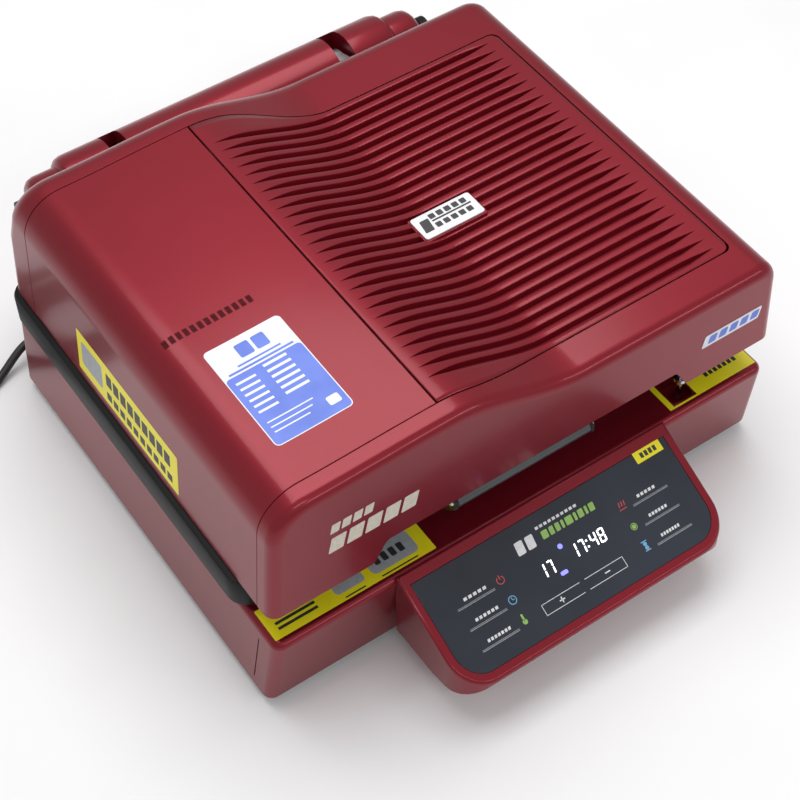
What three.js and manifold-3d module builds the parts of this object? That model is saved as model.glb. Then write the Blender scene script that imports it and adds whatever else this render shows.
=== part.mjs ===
// Sublimation vacuum heat press of the clamshell oven type, used for mugs, plates and phone cases.
// Millimetres. X to the machine's right, Y to its back, Z up. The operator stands at -Y.
// The origin is on the table, in the middle of the machine's footprint without its mains lead.
import * as THREE from 'three';
import { mergeVertices } from 'three/addons/utils/BufferGeometryUtils.js';
import Module from 'manifold-3d';

const wasm = await Module();
wasm.setup();

// ---------------------------------------------------------------- clearances
const touch = 0.3;            // gap left between two pieces that rest on each other
const running = 0.3;          // radial play of a turning piece

// ---------------------------------------------------------------- base
const baseBottomZ = 10;
const baseTopZ = 118;
const baseHalfWidth = 288;
const baseFlare = 8;          // how far each side wall leans out towards the bottom
const baseFrontY = -231;
const baseFrontLean = 15;     // how far the front wall leans back towards the bottom
const baseRearY = 273;
const baseCorner = 11;
const baseEdgeRound = 8;
const baseFootRound = 6;
const baseWall = 4;
const frontWindow = { half: 60, low: 55, high: 85 };     // for the console's wiring
const rearWindow = { half: 90, low: 30, high: 90 };      // for the wiring behind the rear wall
const footRadius = 17;
const footInset = 42;
const ventCount = 7;
const ventPitch = 22;
const ventWidth = 6;
const ventLength = 80;
const plateThickness = 1.5;
const plateTop = baseBottomZ + 2 + plateThickness;

// ---------------------------------------------------------------- bed
const bedHalfWidth = 231;
const bedFrontY = -140;
const bedRearY = 222;
const bedFlange = 5;
const bedThickness = 2.7;
const bedGrooveDepth = 1.2;
const bedGrooveWidth = 3;
const bedGrooveMargin = 30;
const bedGroovePitchX = 75;
const bedGroovePitchY = 90;
const sealWidth = 10;
const sealHeight = 3.4;
const portRadius = 6;
const portBore = 3;

// ---------------------------------------------------------------- console
const consoleHalfWidth = 158;
const consoleRearZ = baseTopZ + 2;
const consoleFrontY = -344;
const consoleDrop = 53;
const consoleFrontZ = consoleRearZ - consoleDrop;
const consoleFloorZ = 30;
const consoleCorner = 35;
const consoleRim = 8.5;
const consoleWall = 3;
const glassThickness = 2.6;

// ---------------------------------------------------------------- membrane frame
const frameHalfWidth = baseHalfWidth + baseFlare;
const frameFrontY = -182;
const frameRearY = 264;
const frameBar = 24;
const frameHeight = 38;
const frameBottomZ = baseTopZ + sealHeight + 2 * touch;
const frameTopZ = frameBottomZ + frameHeight;
const frameWall = 2;
const frameCorner = 22;
const frameArmX = 241;
const frameArmThickness = 9;
const frameEyeRadius = 14;
const membraneZ = frameBottomZ + 2.5;
const membraneThickness = 1.5;
const clampWidth = 14;
const clampThickness = 3;
const handleCentreX = -8;
const handleLength = 152;
const handleRadius = 6.5;
const handleY = -218;
const handleZ = frameTopZ + 10;
const handlePlate = 4;

// ---------------------------------------------------------------- lid
const lidHalfWidth = baseHalfWidth + 2;
const lidDraft = 8;           // how far each side wall leans in towards the top
const lidHeight = 143;
const lidEdgeZ = frameTopZ + 4;
const lidFrontY = -229;
const lidRearY = 262;
const lidHighTop = lidEdgeZ + lidHeight;    // the smooth left part
const lidCrownTop = lidHighTop + 4;         // its highest line, beside the ribs
const lidLowTop = lidHighTop - 34;          // the ribbed right part
const crownX = -95;
const dipX = 50;              // where the slope from the crown reaches the low part
const leftShoulder = 44;
const rightShoulder = 24;
const lidFrontRound = 12;
const lidRearRound = 20;
const lidWall = 4;
const scoopHalfWidth = 163;
const scoopEase = 20;
const scoopHeight = 25;
const coverGap = 1.6;         // the panel lines between the lid's three mouldings
const coverSplitX = -97;
const coverFrontLeftY = -207;
const coverFrontRightY = -190;
const coverRearLeftY = 212;
const coverRearRightY = 188;
const coverRightX = 255;
const coverCorner = 9;
const flangeWidth = 8;
const flangeThickness = 2;

// ---------------------------------------------------------------- rear housing and lid hinge
const hingeGap = 6;           // between the lid and the barrel
const barrelRadius = 38;
const hingeY = lidRearY + hingeGap + barrelRadius;
const hingeZ = baseTopZ + 82;
const barrelEndRadius = 30;
const barrelHalfWidth = 200;
const housingHalfWidth = 235;
const housingWall = 3;
const housingRound = 12;
const notchInner = 124;       // the slots in which the lid's arms swing
const notchOuter = 144;
const pinRadius = 6;
const pinInner = 108;
const bracketInner = 110;      // the bracket's two uprights stand either side of the lid's arm
const bracketOuter = 158;
const bracketUpright = 5;
const bracketEdge = 3;
const springInner = 160;
const springLength = 32;
const springThickness = 5.5;
const armThickness = 12;
const armEyeRadius = 20;

// ---------------------------------------------------------------- ribs of the ribbed cover
const ribCount = 27;
const ribDepth = 2.2;
const ribGroove = 6;
const ribLeftX = -78;
const ribRightX = 238;
const ribMargin = 11;
const badge = { left: 24, right: 92, front: -20, rear: 10 };
const badgeMargin = 2;
const badgeThickness = 1.5;
const badgeZ = lidLowTop + 3.5;

// ---------------------------------------------------------------- heating chamber
const chamberHalfWidth = 236;
const chamberFrontY = -156;
const chamberRearY = 236;
const chamberTopZ = lidLowTop - 25;
const chamberWall = 2;
const chamberFloorZ = lidEdgeZ + 1.5;
const blanketThickness = 12;
const heaterRadius = 5;
const heaterZ = chamberTopZ - 24;
const heaterPitch = 87;
const heaterReach = chamberHalfWidth + 6;
const probeZ = chamberFloorZ + 24.5;
const probeRadius = 3;
const guardZ = chamberTopZ - 43;
const guardBar = 11;
const guardMargin = 8;
const fanX = -150;
const fanY = 20;
const fanRadius = 40;
const fanZ = chamberTopZ - 16;
const fanDepth = 9;
const fanMotorRadius = 30;
const fanMotorTopZ = lidHighTop - 11;
const shaftRadius = 4;
const shaftHole = 10;

// ---------------------------------------------------------------- locating pin and its pocket
const locatorX = 195;
const locatorY = -207;
const locatorRadius = 4;
const pocketDepth = 11;
const pocketWall = 3;
const pocketCorner = 4;
const pocketReach = { left: 13, right: 12, front: 10, rear: 15 };

// ---------------------------------------------------------------- rear panel
const rearFanX = 60;
const rearFanZ = 76;
const rearFanSize = 80;
const rearFanDepth = 24;
const rearFanRadius = 35;
const grillePitch = 9.5;
const grilleSlot = 5;
const switchX = -262;        // on the base's rear wall, beside the housing
const switchZ = 72;
const rockerWidth = 15;
const rockerHeight = 20;
const rockerTilt = 8;         // degrees, at rest in its on position
const switchBodyHalf = { x: 11.6, z: 14.6 };
const switchBezel = 2.9;
const glandY = 303;
const glandZ = 24;
const glandLength = 30;

// ---------------------------------------------------------------- mains lead
const cordRadius = 4.5;
const cordRoute = [
  [-265.4, 303, 24], [-272, 302.7, 23.7], [-279, 301.8, 22.6], [-286, 300.4, 20.6], [-293, 298.5, 17.8],
  [-300, 296.2, 14.6], [-307, 293.6, 11.4], [-314, 290.7, 8.7], [-321, 287.6, 6.6], [-328, 284.4, 5.3],
  [-336, 280.7, 4.8], [-346, 276.2, 4.8], [-358, 271.1, 4.8], [-371, 266.5, 4.8], [-385, 262.9, 4.8],
  [-400, 261.5, 4.8],
];
const coilX = -400;
const coilY = 330;
const coilInner = 36.5;
const coilOuter = 63.5;
const coilHeight = 18;
const coilFloor = 0.3;
const plugRadius = 18;
const plugLength = 30;
const plugSleeve = 32;
const plugPinRadius = 2.4;
const plugPinLength = 19;
const plugPinPitch = 19;

// ---------------------------------------------------------------- finishes
function finish(color, roughness, metalness) {
  return new THREE.MeshStandardMaterial({ color, roughness, metalness });
}

const wineShell = finish(0x8a1d26, 0.28, 0.15);
const blackSteel = finish(0x15161a, 0.35, 0.5);
const steel = finish(0xa7abb0, 0.35, 0.9);
const chrome = finish(0xd6d9dd, 0.12, 1);
const aluminium = finish(0xb9bdc2, 0.4, 0.9);
const rubber = finish(0x1b1b1d, 0.85, 0);
const silicone = finish(0xb4452f, 0.6, 0);
const glass = finish(0x20262e, 0.08, 0.1);
const board = finish(0x1f5c3a, 0.6, 0.1);
const blackPlastic = finish(0x17181b, 0.5, 0);
const wool = finish(0xd9d4c4, 0.95, 0);
const quartz = finish(0xd8cdb8, 0.25, 0.1);
const white = finish(0xe9ebee, 0.35, 0);

// ---------------------------------------------------------------- solids
function solid(geometry) {
  const bare = geometry.index ? geometry.toNonIndexed() : geometry.clone();
  bare.deleteAttribute('normal');
  bare.deleteAttribute('uv');
  const merged = mergeVertices(bare, 1e-3);
  return new wasm.Manifold(new wasm.Mesh({
    numProp: 3,
    vertProperties: Float32Array.from(merged.attributes.position.array),
    triVerts: Uint32Array.from(merged.index.array),
  }));
}

function geometryOf(manifold) {
  const mesh = manifold.getMesh();
  const geometry = new THREE.BufferGeometry();
  geometry.setAttribute('position', new THREE.BufferAttribute(mesh.vertProperties, 3));
  geometry.setIndex(new THREE.BufferAttribute(mesh.triVerts, 1));
  geometry.computeVertexNormals();
  return geometry;
}

const ordered = (a, b) => (a < b ? [a, b] : [b, a]);
const joined = (...parts) => parts.reduce((whole, part) => whole.add(part));
const cut = (body, ...tools) => tools.reduce((left, tool) => left.subtract(tool), body);

function block(x0, x1, y0, y1, z0, z1) {
  const box = new THREE.BoxGeometry(x1 - x0, y1 - y0, z1 - z0);
  box.translate((x0 + x1) / 2, (y0 + y1) / 2, (z0 + z1) / 2);
  return solid(box);
}

// The matrices that lay a drawing's own x, y and depth along the machine's axes.
const lay = {
  x: new THREE.Matrix4().makeBasis(
    new THREE.Vector3(0, 1, 0), new THREE.Vector3(0, 0, 1), new THREE.Vector3(1, 0, 0)),
  y: new THREE.Matrix4().makeBasis(
    new THREE.Vector3(1, 0, 0), new THREE.Vector3(0, 0, 1), new THREE.Vector3(0, -1, 0)),
  z: new THREE.Matrix4(),
};

// Extrudes a drawing along an axis from low to high. Its outline can be drawn in by an inset, and
// the edges round both ends can be rounded.
function extruded(axis, shape, low, high, { inset = 0, round = 0, steps = 8, roundSteps = 3 } = {}) {
  const bevelled = inset > 0 || round > 0;
  const edge = bevelled ? Math.max(round, 0.5) : 0;
  const geometry = new THREE.ExtrudeGeometry(shape, {
    depth: high - low - 2 * edge,
    curveSegments: steps,
    bevelEnabled: bevelled,
    bevelThickness: edge,
    bevelSize: edge,
    bevelOffset: -(inset + edge),
    bevelSegments: roundSteps,
  });
  geometry.applyMatrix4(lay[axis]);
  const start = axis === 'y' ? high - edge : low + edge;
  geometry.translate(axis === 'x' ? start : 0, axis === 'y' ? start : 0, axis === 'z' ? start : 0);
  return solid(geometry);
}

function rod(axis, radius, low, high, a, b, sides = 24) {
  const circle = new THREE.Shape();
  circle.absarc(a, b, radius, 0, 2 * Math.PI, false);
  return extruded(axis, circle, low, high, { steps: sides / 2 });
}

function roundedRectangle(x0, x1, y0, y1, radius) {
  const shape = new THREE.Shape();
  shape.moveTo(x0 + radius, y0);
  shape.lineTo(x1 - radius, y0);
  shape.absarc(x1 - radius, y0 + radius, radius, -Math.PI / 2, 0, false);
  shape.lineTo(x1, y1 - radius);
  shape.absarc(x1 - radius, y1 - radius, radius, 0, Math.PI / 2, false);
  shape.lineTo(x0 + radius, y1);
  shape.absarc(x0 + radius, y1 - radius, radius, Math.PI / 2, Math.PI, false);
  shape.lineTo(x0, y0 + radius);
  shape.absarc(x0 + radius, y0 + radius, radius, Math.PI, 1.5 * Math.PI, false);
  return shape;
}

function polygon(points) {
  return new THREE.Shape(points.map(([x, y]) => new THREE.Vector2(x, y)));
}

// Skins a stack of horizontal outlines that all have the same number of points.
function lofted(outlines) {
  const count = outlines[0].points.length;
  const positions = outlines.flatMap(({ points, z }) => points.flatMap((p) => [p.x, p.y, z]));
  const index = [];
  for (let ring = 0; ring + 1 < outlines.length; ring += 1) {
    for (let i = 0; i < count; i += 1) {
      const a = ring * count + i;
      const b = ring * count + (i + 1) % count;
      index.push(a, b, b + count, a, b + count, a + count);
    }
  }
  const top = (outlines.length - 1) * count;
  for (let i = 1; i + 1 < count; i += 1) {
    index.push(0, i + 1, i);
    index.push(top, top + i, top + i + 1);
  }
  const geometry = new THREE.BufferGeometry();
  geometry.setAttribute('position', new THREE.Float32BufferAttribute(positions, 3));
  geometry.setIndex(index);
  return solid(geometry);
}

function turned(profile, sides = 24) {
  const geometry = new THREE.LatheGeometry(profile.map(([r, z]) => new THREE.Vector2(r, z)), sides);
  geometry.rotateX(Math.PI / 2);
  return geometry;
}

const group = new THREE.Group();
group.name = 'vacuum_heat_press';

function add(name, shape, material, parent = group) {
  const geometry = shape.isBufferGeometry ? shape : geometryOf(shape);
  const mesh = new THREE.Mesh(geometry, material);
  mesh.name = name;
  parent.add(mesh);
  return mesh;
}

// ---------------------------------------------------------------- base shell
// The outline of the base at a height, drawn in or out by grow.
function baseOutline(z, grow) {
  const low = (baseTopZ - z) / (baseTopZ - baseBottomZ);
  const half = baseHalfWidth + baseFlare * low + grow;
  const front = baseFrontY + baseFrontLean * low - grow;
  const corner = Math.max(baseCorner + grow, 2);
  return roundedRectangle(-half, half, front, baseRearY + grow, corner).getPoints(4);
}

const quarter = [0, Math.PI / 6, Math.PI / 3, Math.PI / 2];

// The closed outer form, rounded round its foot and round its deck.
function baseSolid(grow) {
  const ring = (z, inset) => ({ z, points: baseOutline(z, grow - inset) });
  const foot = quarter.map((angle) => ring(
    baseBottomZ - grow + baseFootRound * (1 - Math.cos(angle)), baseFootRound * (1 - Math.sin(angle))));
  const deck = quarter.map((angle) => ring(
    baseTopZ + grow - baseEdgeRound * (1 - Math.sin(angle)), baseEdgeRound * (1 - Math.cos(angle))));
  return lofted([...foot, ...deck]);
}

function pocketOutline(grow) {
  return roundedRectangle(
    locatorX - pocketReach.left - grow, locatorX + pocketReach.right + grow,
    locatorY - pocketReach.front - grow, locatorY + pocketReach.rear + grow, pocketCorner);
}

function baseShell() {
  const hollow = lofted([
    { z: baseBottomZ - 5, points: baseOutline(baseBottomZ, -baseWall - baseFootRound / 2) },
    { z: baseBottomZ + baseFootRound, points: baseOutline(baseBottomZ + baseFootRound, -baseWall) },
    { z: baseTopZ - baseWall, points: baseOutline(baseTopZ - baseWall, -baseWall) },
  ]);
  const opening = block(-bedHalfWidth, bedHalfWidth, bedFrontY, bedRearY, baseTopZ - 20, baseTopZ + 5);
  const wiring = block(-frontWindow.half, frontWindow.half, baseFrontY - 5, baseFrontY + 30,
    frontWindow.low, frontWindow.high);
  const rearWiring = block(-rearWindow.half, rearWindow.half, baseRearY - 20, baseRearY + 5,
    rearWindow.low, rearWindow.high);
  const switchHole = block(switchX - switchBodyHalf.x - touch, switchX + switchBodyHalf.x + touch,
    baseRearY - 20, baseRearY + 5, switchZ - switchBodyHalf.z - touch, switchZ + switchBodyHalf.z + touch);
  const cup = extruded('z', pocketOutline(pocketWall),
    baseTopZ - pocketDepth - pocketWall, baseTopZ - baseWall / 2);
  const pocket = extruded('z', pocketOutline(0), baseTopZ - pocketDepth, baseTopZ + 5);
  const shell = cut(baseSolid(0), hollow, opening, wiring, rearWiring, switchHole);
  return cut(joined(shell, cup), pocket);
}

add('base_shell', baseShell(), wineShell);

function basePlate() {
  const front = baseFrontY + baseFrontLean + baseWall + baseFootRound;
  const plate = block(-baseHalfWidth + 6, baseHalfWidth - 6, front, baseRearY - baseWall - 2,
    plateTop - plateThickness, plateTop);
  const vents = [];
  for (let vent = 0; vent < ventCount; vent += 1) {
    const x = (vent - (ventCount - 1) / 2) * ventPitch;
    vents.push(block(x - ventWidth / 2, x + ventWidth / 2, -ventLength / 2, ventLength / 2,
      baseBottomZ, plateTop + 5));
  }
  return cut(plate, ...vents);
}

add('base_plate', basePlate(), steel);

// A cut can leave slivers beside the piece itself.
function largest(manifold) {
  return manifold.decompose().sort((one, other) => other.volume() - one.volume())[0];
}

const footSpots = {
  foot_front_left: [-baseHalfWidth + footInset, baseFrontY + baseFrontLean + footInset],
  foot_front_right: [baseHalfWidth - footInset, baseFrontY + baseFrontLean + footInset],
  foot_rear_left: [-baseHalfWidth + footInset, baseRearY - footInset],
  foot_rear_right: [baseHalfWidth - footInset, baseRearY - footInset],
};
for (const [name, [x, y]] of Object.entries(footSpots)) {
  const height = baseBottomZ + 2 - touch;
  const foot = add(name, turned([
    [0, 0], [footRadius - 3, 0], [footRadius - 1, 2], [footRadius, height], [0, height],
  ], 20), rubber);
  foot.position.set(x, y, 0);
}

// ---------------------------------------------------------------- bed
function platen() {
  const top = baseTopZ + touch + bedThickness;
  const plate = extruded('z', roundedRectangle(
    -bedHalfWidth - bedFlange, bedHalfWidth + bedFlange,
    bedFrontY - bedFlange, bedRearY + bedFlange, 8), baseTopZ + touch, top, { steps: 3 });
  const middleY = (bedFrontY + bedRearY) / 2;
  const nipple = rod('z', portRadius, baseTopZ - 18, baseTopZ + 1, 0, middleY, 16);
  const bore = rod('z', portBore, baseTopZ - 20, top + 1, 0, middleY, 12);
  const groove = (x0, x1, y0, y1) => block(x0, x1, y0, y1, top - bedGrooveDepth, top + 1);
  const half = bedGrooveWidth / 2;
  const reachX = bedHalfWidth - bedGrooveMargin;
  const grooves = [];
  for (let column = -2; column <= 2; column += 1) {
    const x = column * bedGroovePitchX;
    grooves.push(groove(x - half, x + half, bedFrontY + bedGrooveMargin, bedRearY - bedGrooveMargin));
  }
  for (let row = -1; row <= 1; row += 1) {
    const y = middleY + row * bedGroovePitchY;
    grooves.push(groove(-reachX, reachX, y - half, y + half));
  }
  return cut(plate.add(nipple), bore, ...grooves);
}

add('platen', platen(), aluminium);

function flatRing(x0, x1, y0, y1, width, radius, low, high) {
  const outer = extruded('z', roundedRectangle(x0, x1, y0, y1, radius), low, high, { steps: 4 });
  const inner = extruded('z', roundedRectangle(x0 + width, x1 - width, y0 + width, y1 - width,
    Math.max(radius - width, 2)), low - 1, high + 1, { steps: 4 });
  return outer.subtract(inner);
}

// The seal lies on the deck under the inner wall of the membrane frame.
const sealInset = frameBar - frameWall / 2 - sealWidth / 2;
add('bed_seal', flatRing(-frameHalfWidth + sealInset, frameHalfWidth - sealInset, frameFrontY + sealInset,
  frameRearY - sealInset, sealWidth, 10, baseTopZ + touch, baseTopZ + touch + sealHeight), rubber);

// ---------------------------------------------------------------- console
const slope = (consoleRearZ - consoleFrontZ) / (baseFrontY - consoleFrontY);

// The height of the console's sloping face, or of a plane a depth under it.
function consoleFaceZ(y, depth = 0) {
  return consoleRearZ + (y - baseFrontY) * slope - depth / Math.cos(Math.atan(slope));
}

function consolePlan(inset) {
  const half = consoleHalfWidth - inset;
  const front = consoleFrontY + inset;
  const rear = baseFrontY + 12 - inset;
  const radius = consoleCorner - inset;
  const shape = new THREE.Shape();
  shape.moveTo(half, rear);
  shape.lineTo(-half, rear);
  shape.lineTo(-half, front + radius);
  shape.absarc(-half + radius, front + radius, radius, Math.PI, 1.5 * Math.PI, false);
  shape.lineTo(half - radius, front);
  shape.absarc(half - radius, front + radius, radius, 1.5 * Math.PI, 2 * Math.PI, false);
  return shape;
}

// The wedge seen from the side, drawn in by an inset from its face, front and floor.
function consoleWedge(inset, back) {
  const front = consoleFrontY + inset;
  const shape = new THREE.Shape();
  shape.moveTo(back, consoleFaceZ(back, inset));
  shape.lineTo(front, consoleFaceZ(front, inset));
  shape.bezierCurveTo(front + 6, consoleFrontZ - 16, front + 20, consoleFloorZ + 8 + inset,
    front + 60, consoleFloorZ + 3 + inset);
  shape.lineTo(back, consoleFloorZ + inset);
  return shape;
}

function consoleSlab(planInset, top, bottom) {
  const front = consoleFrontY - 20;
  const back = baseFrontY + 20;
  const slab = extruded('x', polygon([
    [back, consoleFaceZ(back, top)], [front, consoleFaceZ(front, top)],
    [front, consoleFaceZ(front, bottom)], [back, consoleFaceZ(back, bottom)],
  ]), -consoleHalfWidth - 10, consoleHalfWidth + 10);
  return slab.intersect(extruded('z', consolePlan(planInset), 0, 200));
}

function consoleShell() {
  const body = extruded('x', consoleWedge(0, baseFrontY + 6), -consoleHalfWidth - 5, consoleHalfWidth + 5)
    .intersect(extruded('z', consolePlan(0), 0, 200));
  const hollow = extruded('x', consoleWedge(consoleWall + glassThickness, baseFrontY + 12),
    -consoleHalfWidth + consoleWall, consoleHalfWidth - consoleWall)
    .intersect(extruded('z', consolePlan(consoleWall), 0, 200));
  const open = block(-consoleHalfWidth + 12, consoleHalfWidth - 12, baseFrontY - 6, baseFrontY + 20,
    consoleFloorZ + 10, consoleRearZ - 14);
  const recess = consoleSlab(consoleRim, -5, glassThickness + touch);
  const window = consoleSlab(consoleRim + 8, -5, glassThickness + 8);
  const panelRear = block(-consoleHalfWidth, consoleHalfWidth, baseFrontY - consoleRim, 0, 0, 200);
  return largest(cut(body, hollow, open, recess.subtract(panelRear), window.subtract(
    panelRear.translate([0, -8, 0])), baseSolid(touch)));
}

add('console_shell', consoleShell(), wineShell);

const glassRear = block(-200, 200, baseFrontY - consoleRim - touch, 0, 0, 200);
add('touch_panel', consoleSlab(consoleRim + touch, 0.2, glassThickness).subtract(glassRear), glass);
add('display_board', consoleSlab(consoleRim + 12, glassThickness + 1, glassThickness + 2.6)
  .subtract(block(-200, 200, baseFrontY - 24, 0, 0, 200)), board);

// ---------------------------------------------------------------- rear housing
function housingProfile(radius) {
  const rear = hingeY + barrelRadius;
  const shape = new THREE.Shape();
  shape.moveTo(baseRearY + touch, baseBottomZ);
  shape.lineTo(rear - 6, baseBottomZ);
  shape.lineTo(rear, baseBottomZ + 20);
  shape.lineTo(rear, hingeZ - 20);
  shape.lineTo(hingeY + radius, hingeZ);
  shape.absarc(hingeY, hingeZ, radius, 0, Math.PI, false);
  shape.lineTo(hingeY - radius, hingeZ - 20);
  shape.lineTo(baseRearY + touch, hingeZ - 60);
  return shape;
}

function rearHousing() {
  const rear = hingeY + barrelRadius;
  const barrel = (half, radius, inset) => extruded('x', housingProfile(radius), -half + inset, half - inset,
    { inset, round: housingRound - inset, steps: 6 });
  const form = (inset) => joined(
    barrel(barrelHalfWidth, barrelRadius, inset), barrel(housingHalfWidth, barrelEndRadius, inset));
  const outside = form(0).subtract(block(-400, 400, 0, 400, -10, baseBottomZ));
  const within = housingHalfWidth - housingRound;
  const inside = joined(form(housingWall), block(-within, within, baseRearY + housingWall + 1,
    rear - 9, 0, 60));
  const webs = [-1, 1].map((side) => {
    const [low, high] = ordered(side * (notchInner - housingWall), side * (notchOuter + housingWall));
    return block(low, high, 200, 400, hingeZ - 60, hingeZ + 60);
  });
  const hollows = [cut(inside, ...webs), block(-rearWindow.half, rearWindow.half, baseRearY - 5,
    baseRearY + 12, rearWindow.low, rearWindow.high)];
  for (const side of [-1, 1]) {
    const [low, high] = ordered(side * notchInner, side * notchOuter);
    hollows.push(block(low, high, hingeY - 60, hingeY + 27, hingeZ - 38, hingeZ + 60));
    hollows.push(block(low, high, hingeY, hingeY + 60, hingeZ + 28, hingeZ + 60));
    hollows.push(rod('x', pinRadius + running,
      ...ordered(side * (pinInner - 1), side * (housingHalfWidth + 5)), hingeY, hingeZ));
  }
  for (let slot = -3; slot <= 3; slot += 1) {
    const across = slot * grillePitch;
    const reach = Math.sqrt((rearFanRadius - 2) ** 2 - across ** 2);
    hollows.push(block(rearFanX + across - grilleSlot / 2, rearFanX + across + grilleSlot / 2,
      rear - 12, rear + 5, rearFanZ - reach, rearFanZ + reach));
  }
  hollows.push(rod('x', 7 + touch, -housingHalfWidth - 5, -housingHalfWidth + 10, glandY, glandZ));
  return largest(cut(outside, ...hollows));
}

add('rear_housing', rearHousing(), wineShell);
add('rear_floor_plate', block(-housingHalfWidth + housingRound + 1, housingHalfWidth - housingRound - 1,
  baseRearY + housingWall + 2, hingeY + barrelRadius - 10, plateTop - plateThickness, plateTop), steel);

// ---------------------------------------------------------------- hinge
for (const [word, side] of [['left', -1], ['right', 1]]) {
  const span = (a, b) => ordered(side * a, side * b);
  const eye = (radius, a, b) => rod('x', radius, ...span(a, b), hingeY, hingeZ);

  const footing = block(...span(bracketInner, bracketOuter), hingeY - frameEyeRadius - 1,
    hingeY + frameEyeRadius + 1, plateTop + touch, plateTop + 4);
  const innerUpright = bracketInner + bracketEdge;
  const outerUpright = bracketOuter - bracketEdge - bracketUpright;
  const uprights = [innerUpright, outerUpright].map((start) => joined(
    eye(frameEyeRadius, start, start + bracketUpright),
    block(...span(start, start + bracketUpright), hingeY - frameEyeRadius, hingeY + frameEyeRadius,
      plateTop + 2, hingeZ)));
  const bore = eye(pinRadius + running, bracketInner - 10, bracketOuter + 10);
  add(`hinge_bracket_${word}`, cut(joined(footing, ...uprights), bore), steel);

  add(`hinge_pin_${word}`, eye(pinRadius, pinInner, frameArmX + frameArmThickness + 4), chrome);

  const bobbin = pinRadius + 1.5;
  const coil = cut(eye(bobbin + springThickness, springInner, springInner + springLength),
    eye(bobbin, springInner - 10, springInner + springLength + 10));
  add(`hinge_spring_${word}`, coil, steel);

  const plate = span(notchInner + 4, notchInner + 4 + armThickness);
  const web = extruded('x', polygon([
    [lidRearY - lidWall - touch - 8, hingeZ - 28], [lidRearY + 6, hingeZ - 24],
    [hingeY + 4, hingeZ - armEyeRadius + 1], [hingeY, hingeZ + armEyeRadius - 0.5],
    [lidRearY + 6, hingeZ + 32], [lidRearY - lidWall - touch - 8, hingeZ + 34],
  ]), ...plate);
  const flange = block(...span(notchInner - 4, notchOuter + 4), lidRearY - lidWall - 10,
    lidRearY - lidWall - touch, hingeZ - 28, hingeZ + 34);
  const arm = cut(joined(rod('x', armEyeRadius, ...plate, hingeY, hingeZ), web, flange), bore);
  add(`lid_hinge_arm_${word}`, arm, steel);
}

// ---------------------------------------------------------------- lid mouldings
// The lid seen from the front, from its lower edge or further down.
function lidOutline(bottomZ) {
  const wallX = lidHalfWidth - lidDraft;
  const footX = (shoulderZ) => lidHalfWidth + lidDraft * (lidEdgeZ - bottomZ) / (shoulderZ - lidEdgeZ);
  const slopeX = (dipX - crownX) / 3;
  const shape = new THREE.Shape();
  shape.moveTo(-footX(lidHighTop - leftShoulder), bottomZ);
  shape.lineTo(footX(lidLowTop - rightShoulder), bottomZ);
  shape.lineTo(wallX, lidLowTop - rightShoulder);
  shape.absarc(wallX - rightShoulder, lidLowTop - rightShoulder, rightShoulder, 0, Math.PI / 2, false);
  shape.lineTo(dipX, lidLowTop);
  shape.bezierCurveTo(dipX - slopeX, lidLowTop, crownX + slopeX, lidCrownTop, crownX, lidCrownTop);
  shape.bezierCurveTo(crownX - 45, lidCrownTop, -wallX + leftShoulder + 45, lidHighTop,
    -wallX + leftShoulder, lidHighTop);
  shape.absarc(-wallX + leftShoulder, lidHighTop - leftShoulder, leftShoulder, Math.PI / 2, Math.PI, false);
  return shape;
}

// The lid's outer form, or the same form a depth under its surface.
function lidForm(depth) {
  const outline = lidOutline(lidEdgeZ - 40);
  const beyond = 60;
  const front = extruded('y', outline, lidFrontY + depth, lidRearY + beyond,
    { inset: depth, round: Math.max(lidFrontRound - depth, 1), steps: 6, roundSteps: 2 });
  const rear = extruded('y', outline, lidFrontY - beyond, lidRearY - depth,
    { inset: depth, round: Math.max(lidRearRound - depth, 1), steps: 6, roundSteps: 2 });
  return front.intersect(rear);
}

const aboveEdge = block(-400, 400, -400, 400, lidEdgeZ, 400);
const skin = (from, to) => lidForm(from).subtract(lidForm(to)).intersect(aboveEdge);

// The covers seen from above, grown or drawn in.
function leftCoverPlan(grow) {
  return roundedRectangle(-400, coverSplitX - coverGap / 2 + grow, coverFrontLeftY - grow,
    coverRearLeftY + grow, 1);
}

function ribbedCoverPlan(grow) {
  const left = coverSplitX + coverGap / 2 - grow;
  const right = coverRightX + grow;
  const front = [coverFrontLeftY - grow, coverFrontRightY - grow];
  const rear = [coverRearLeftY + grow, coverRearRightY + grow];
  const radius = coverCorner + grow;
  const [bendStart, bendEnd] = [crownX + 30, dipX];
  const middle = (bendStart + bendEnd) / 2;
  const shape = new THREE.Shape();
  shape.moveTo(left, front[0]);
  shape.lineTo(bendStart, front[0]);
  shape.bezierCurveTo(middle, front[0], middle, front[1], bendEnd, front[1]);
  shape.lineTo(right - radius, front[1]);
  shape.absarc(right - radius, front[1] + radius, radius, -Math.PI / 2, 0, false);
  shape.lineTo(right, rear[1] - radius);
  shape.absarc(right - radius, rear[1] - radius, radius, 0, Math.PI / 2, false);
  shape.lineTo(bendEnd, rear[1]);
  shape.bezierCurveTo(middle, rear[1], middle, rear[0], bendStart, rear[0]);
  shape.lineTo(left, rear[0]);
  return shape;
}

const upright = (shape) => extruded('z', shape, 100, 380, { steps: 6 });
const coversRegion = (grow) => joined(
  upright(leftCoverPlan(grow)), upright(ribbedCoverPlan(grow)),
  block(coverSplitX - 2 * flangeWidth, coverSplitX + 2 * flangeWidth, coverFrontLeftY - grow,
    coverRearLeftY + grow, 100, 380));

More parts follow.
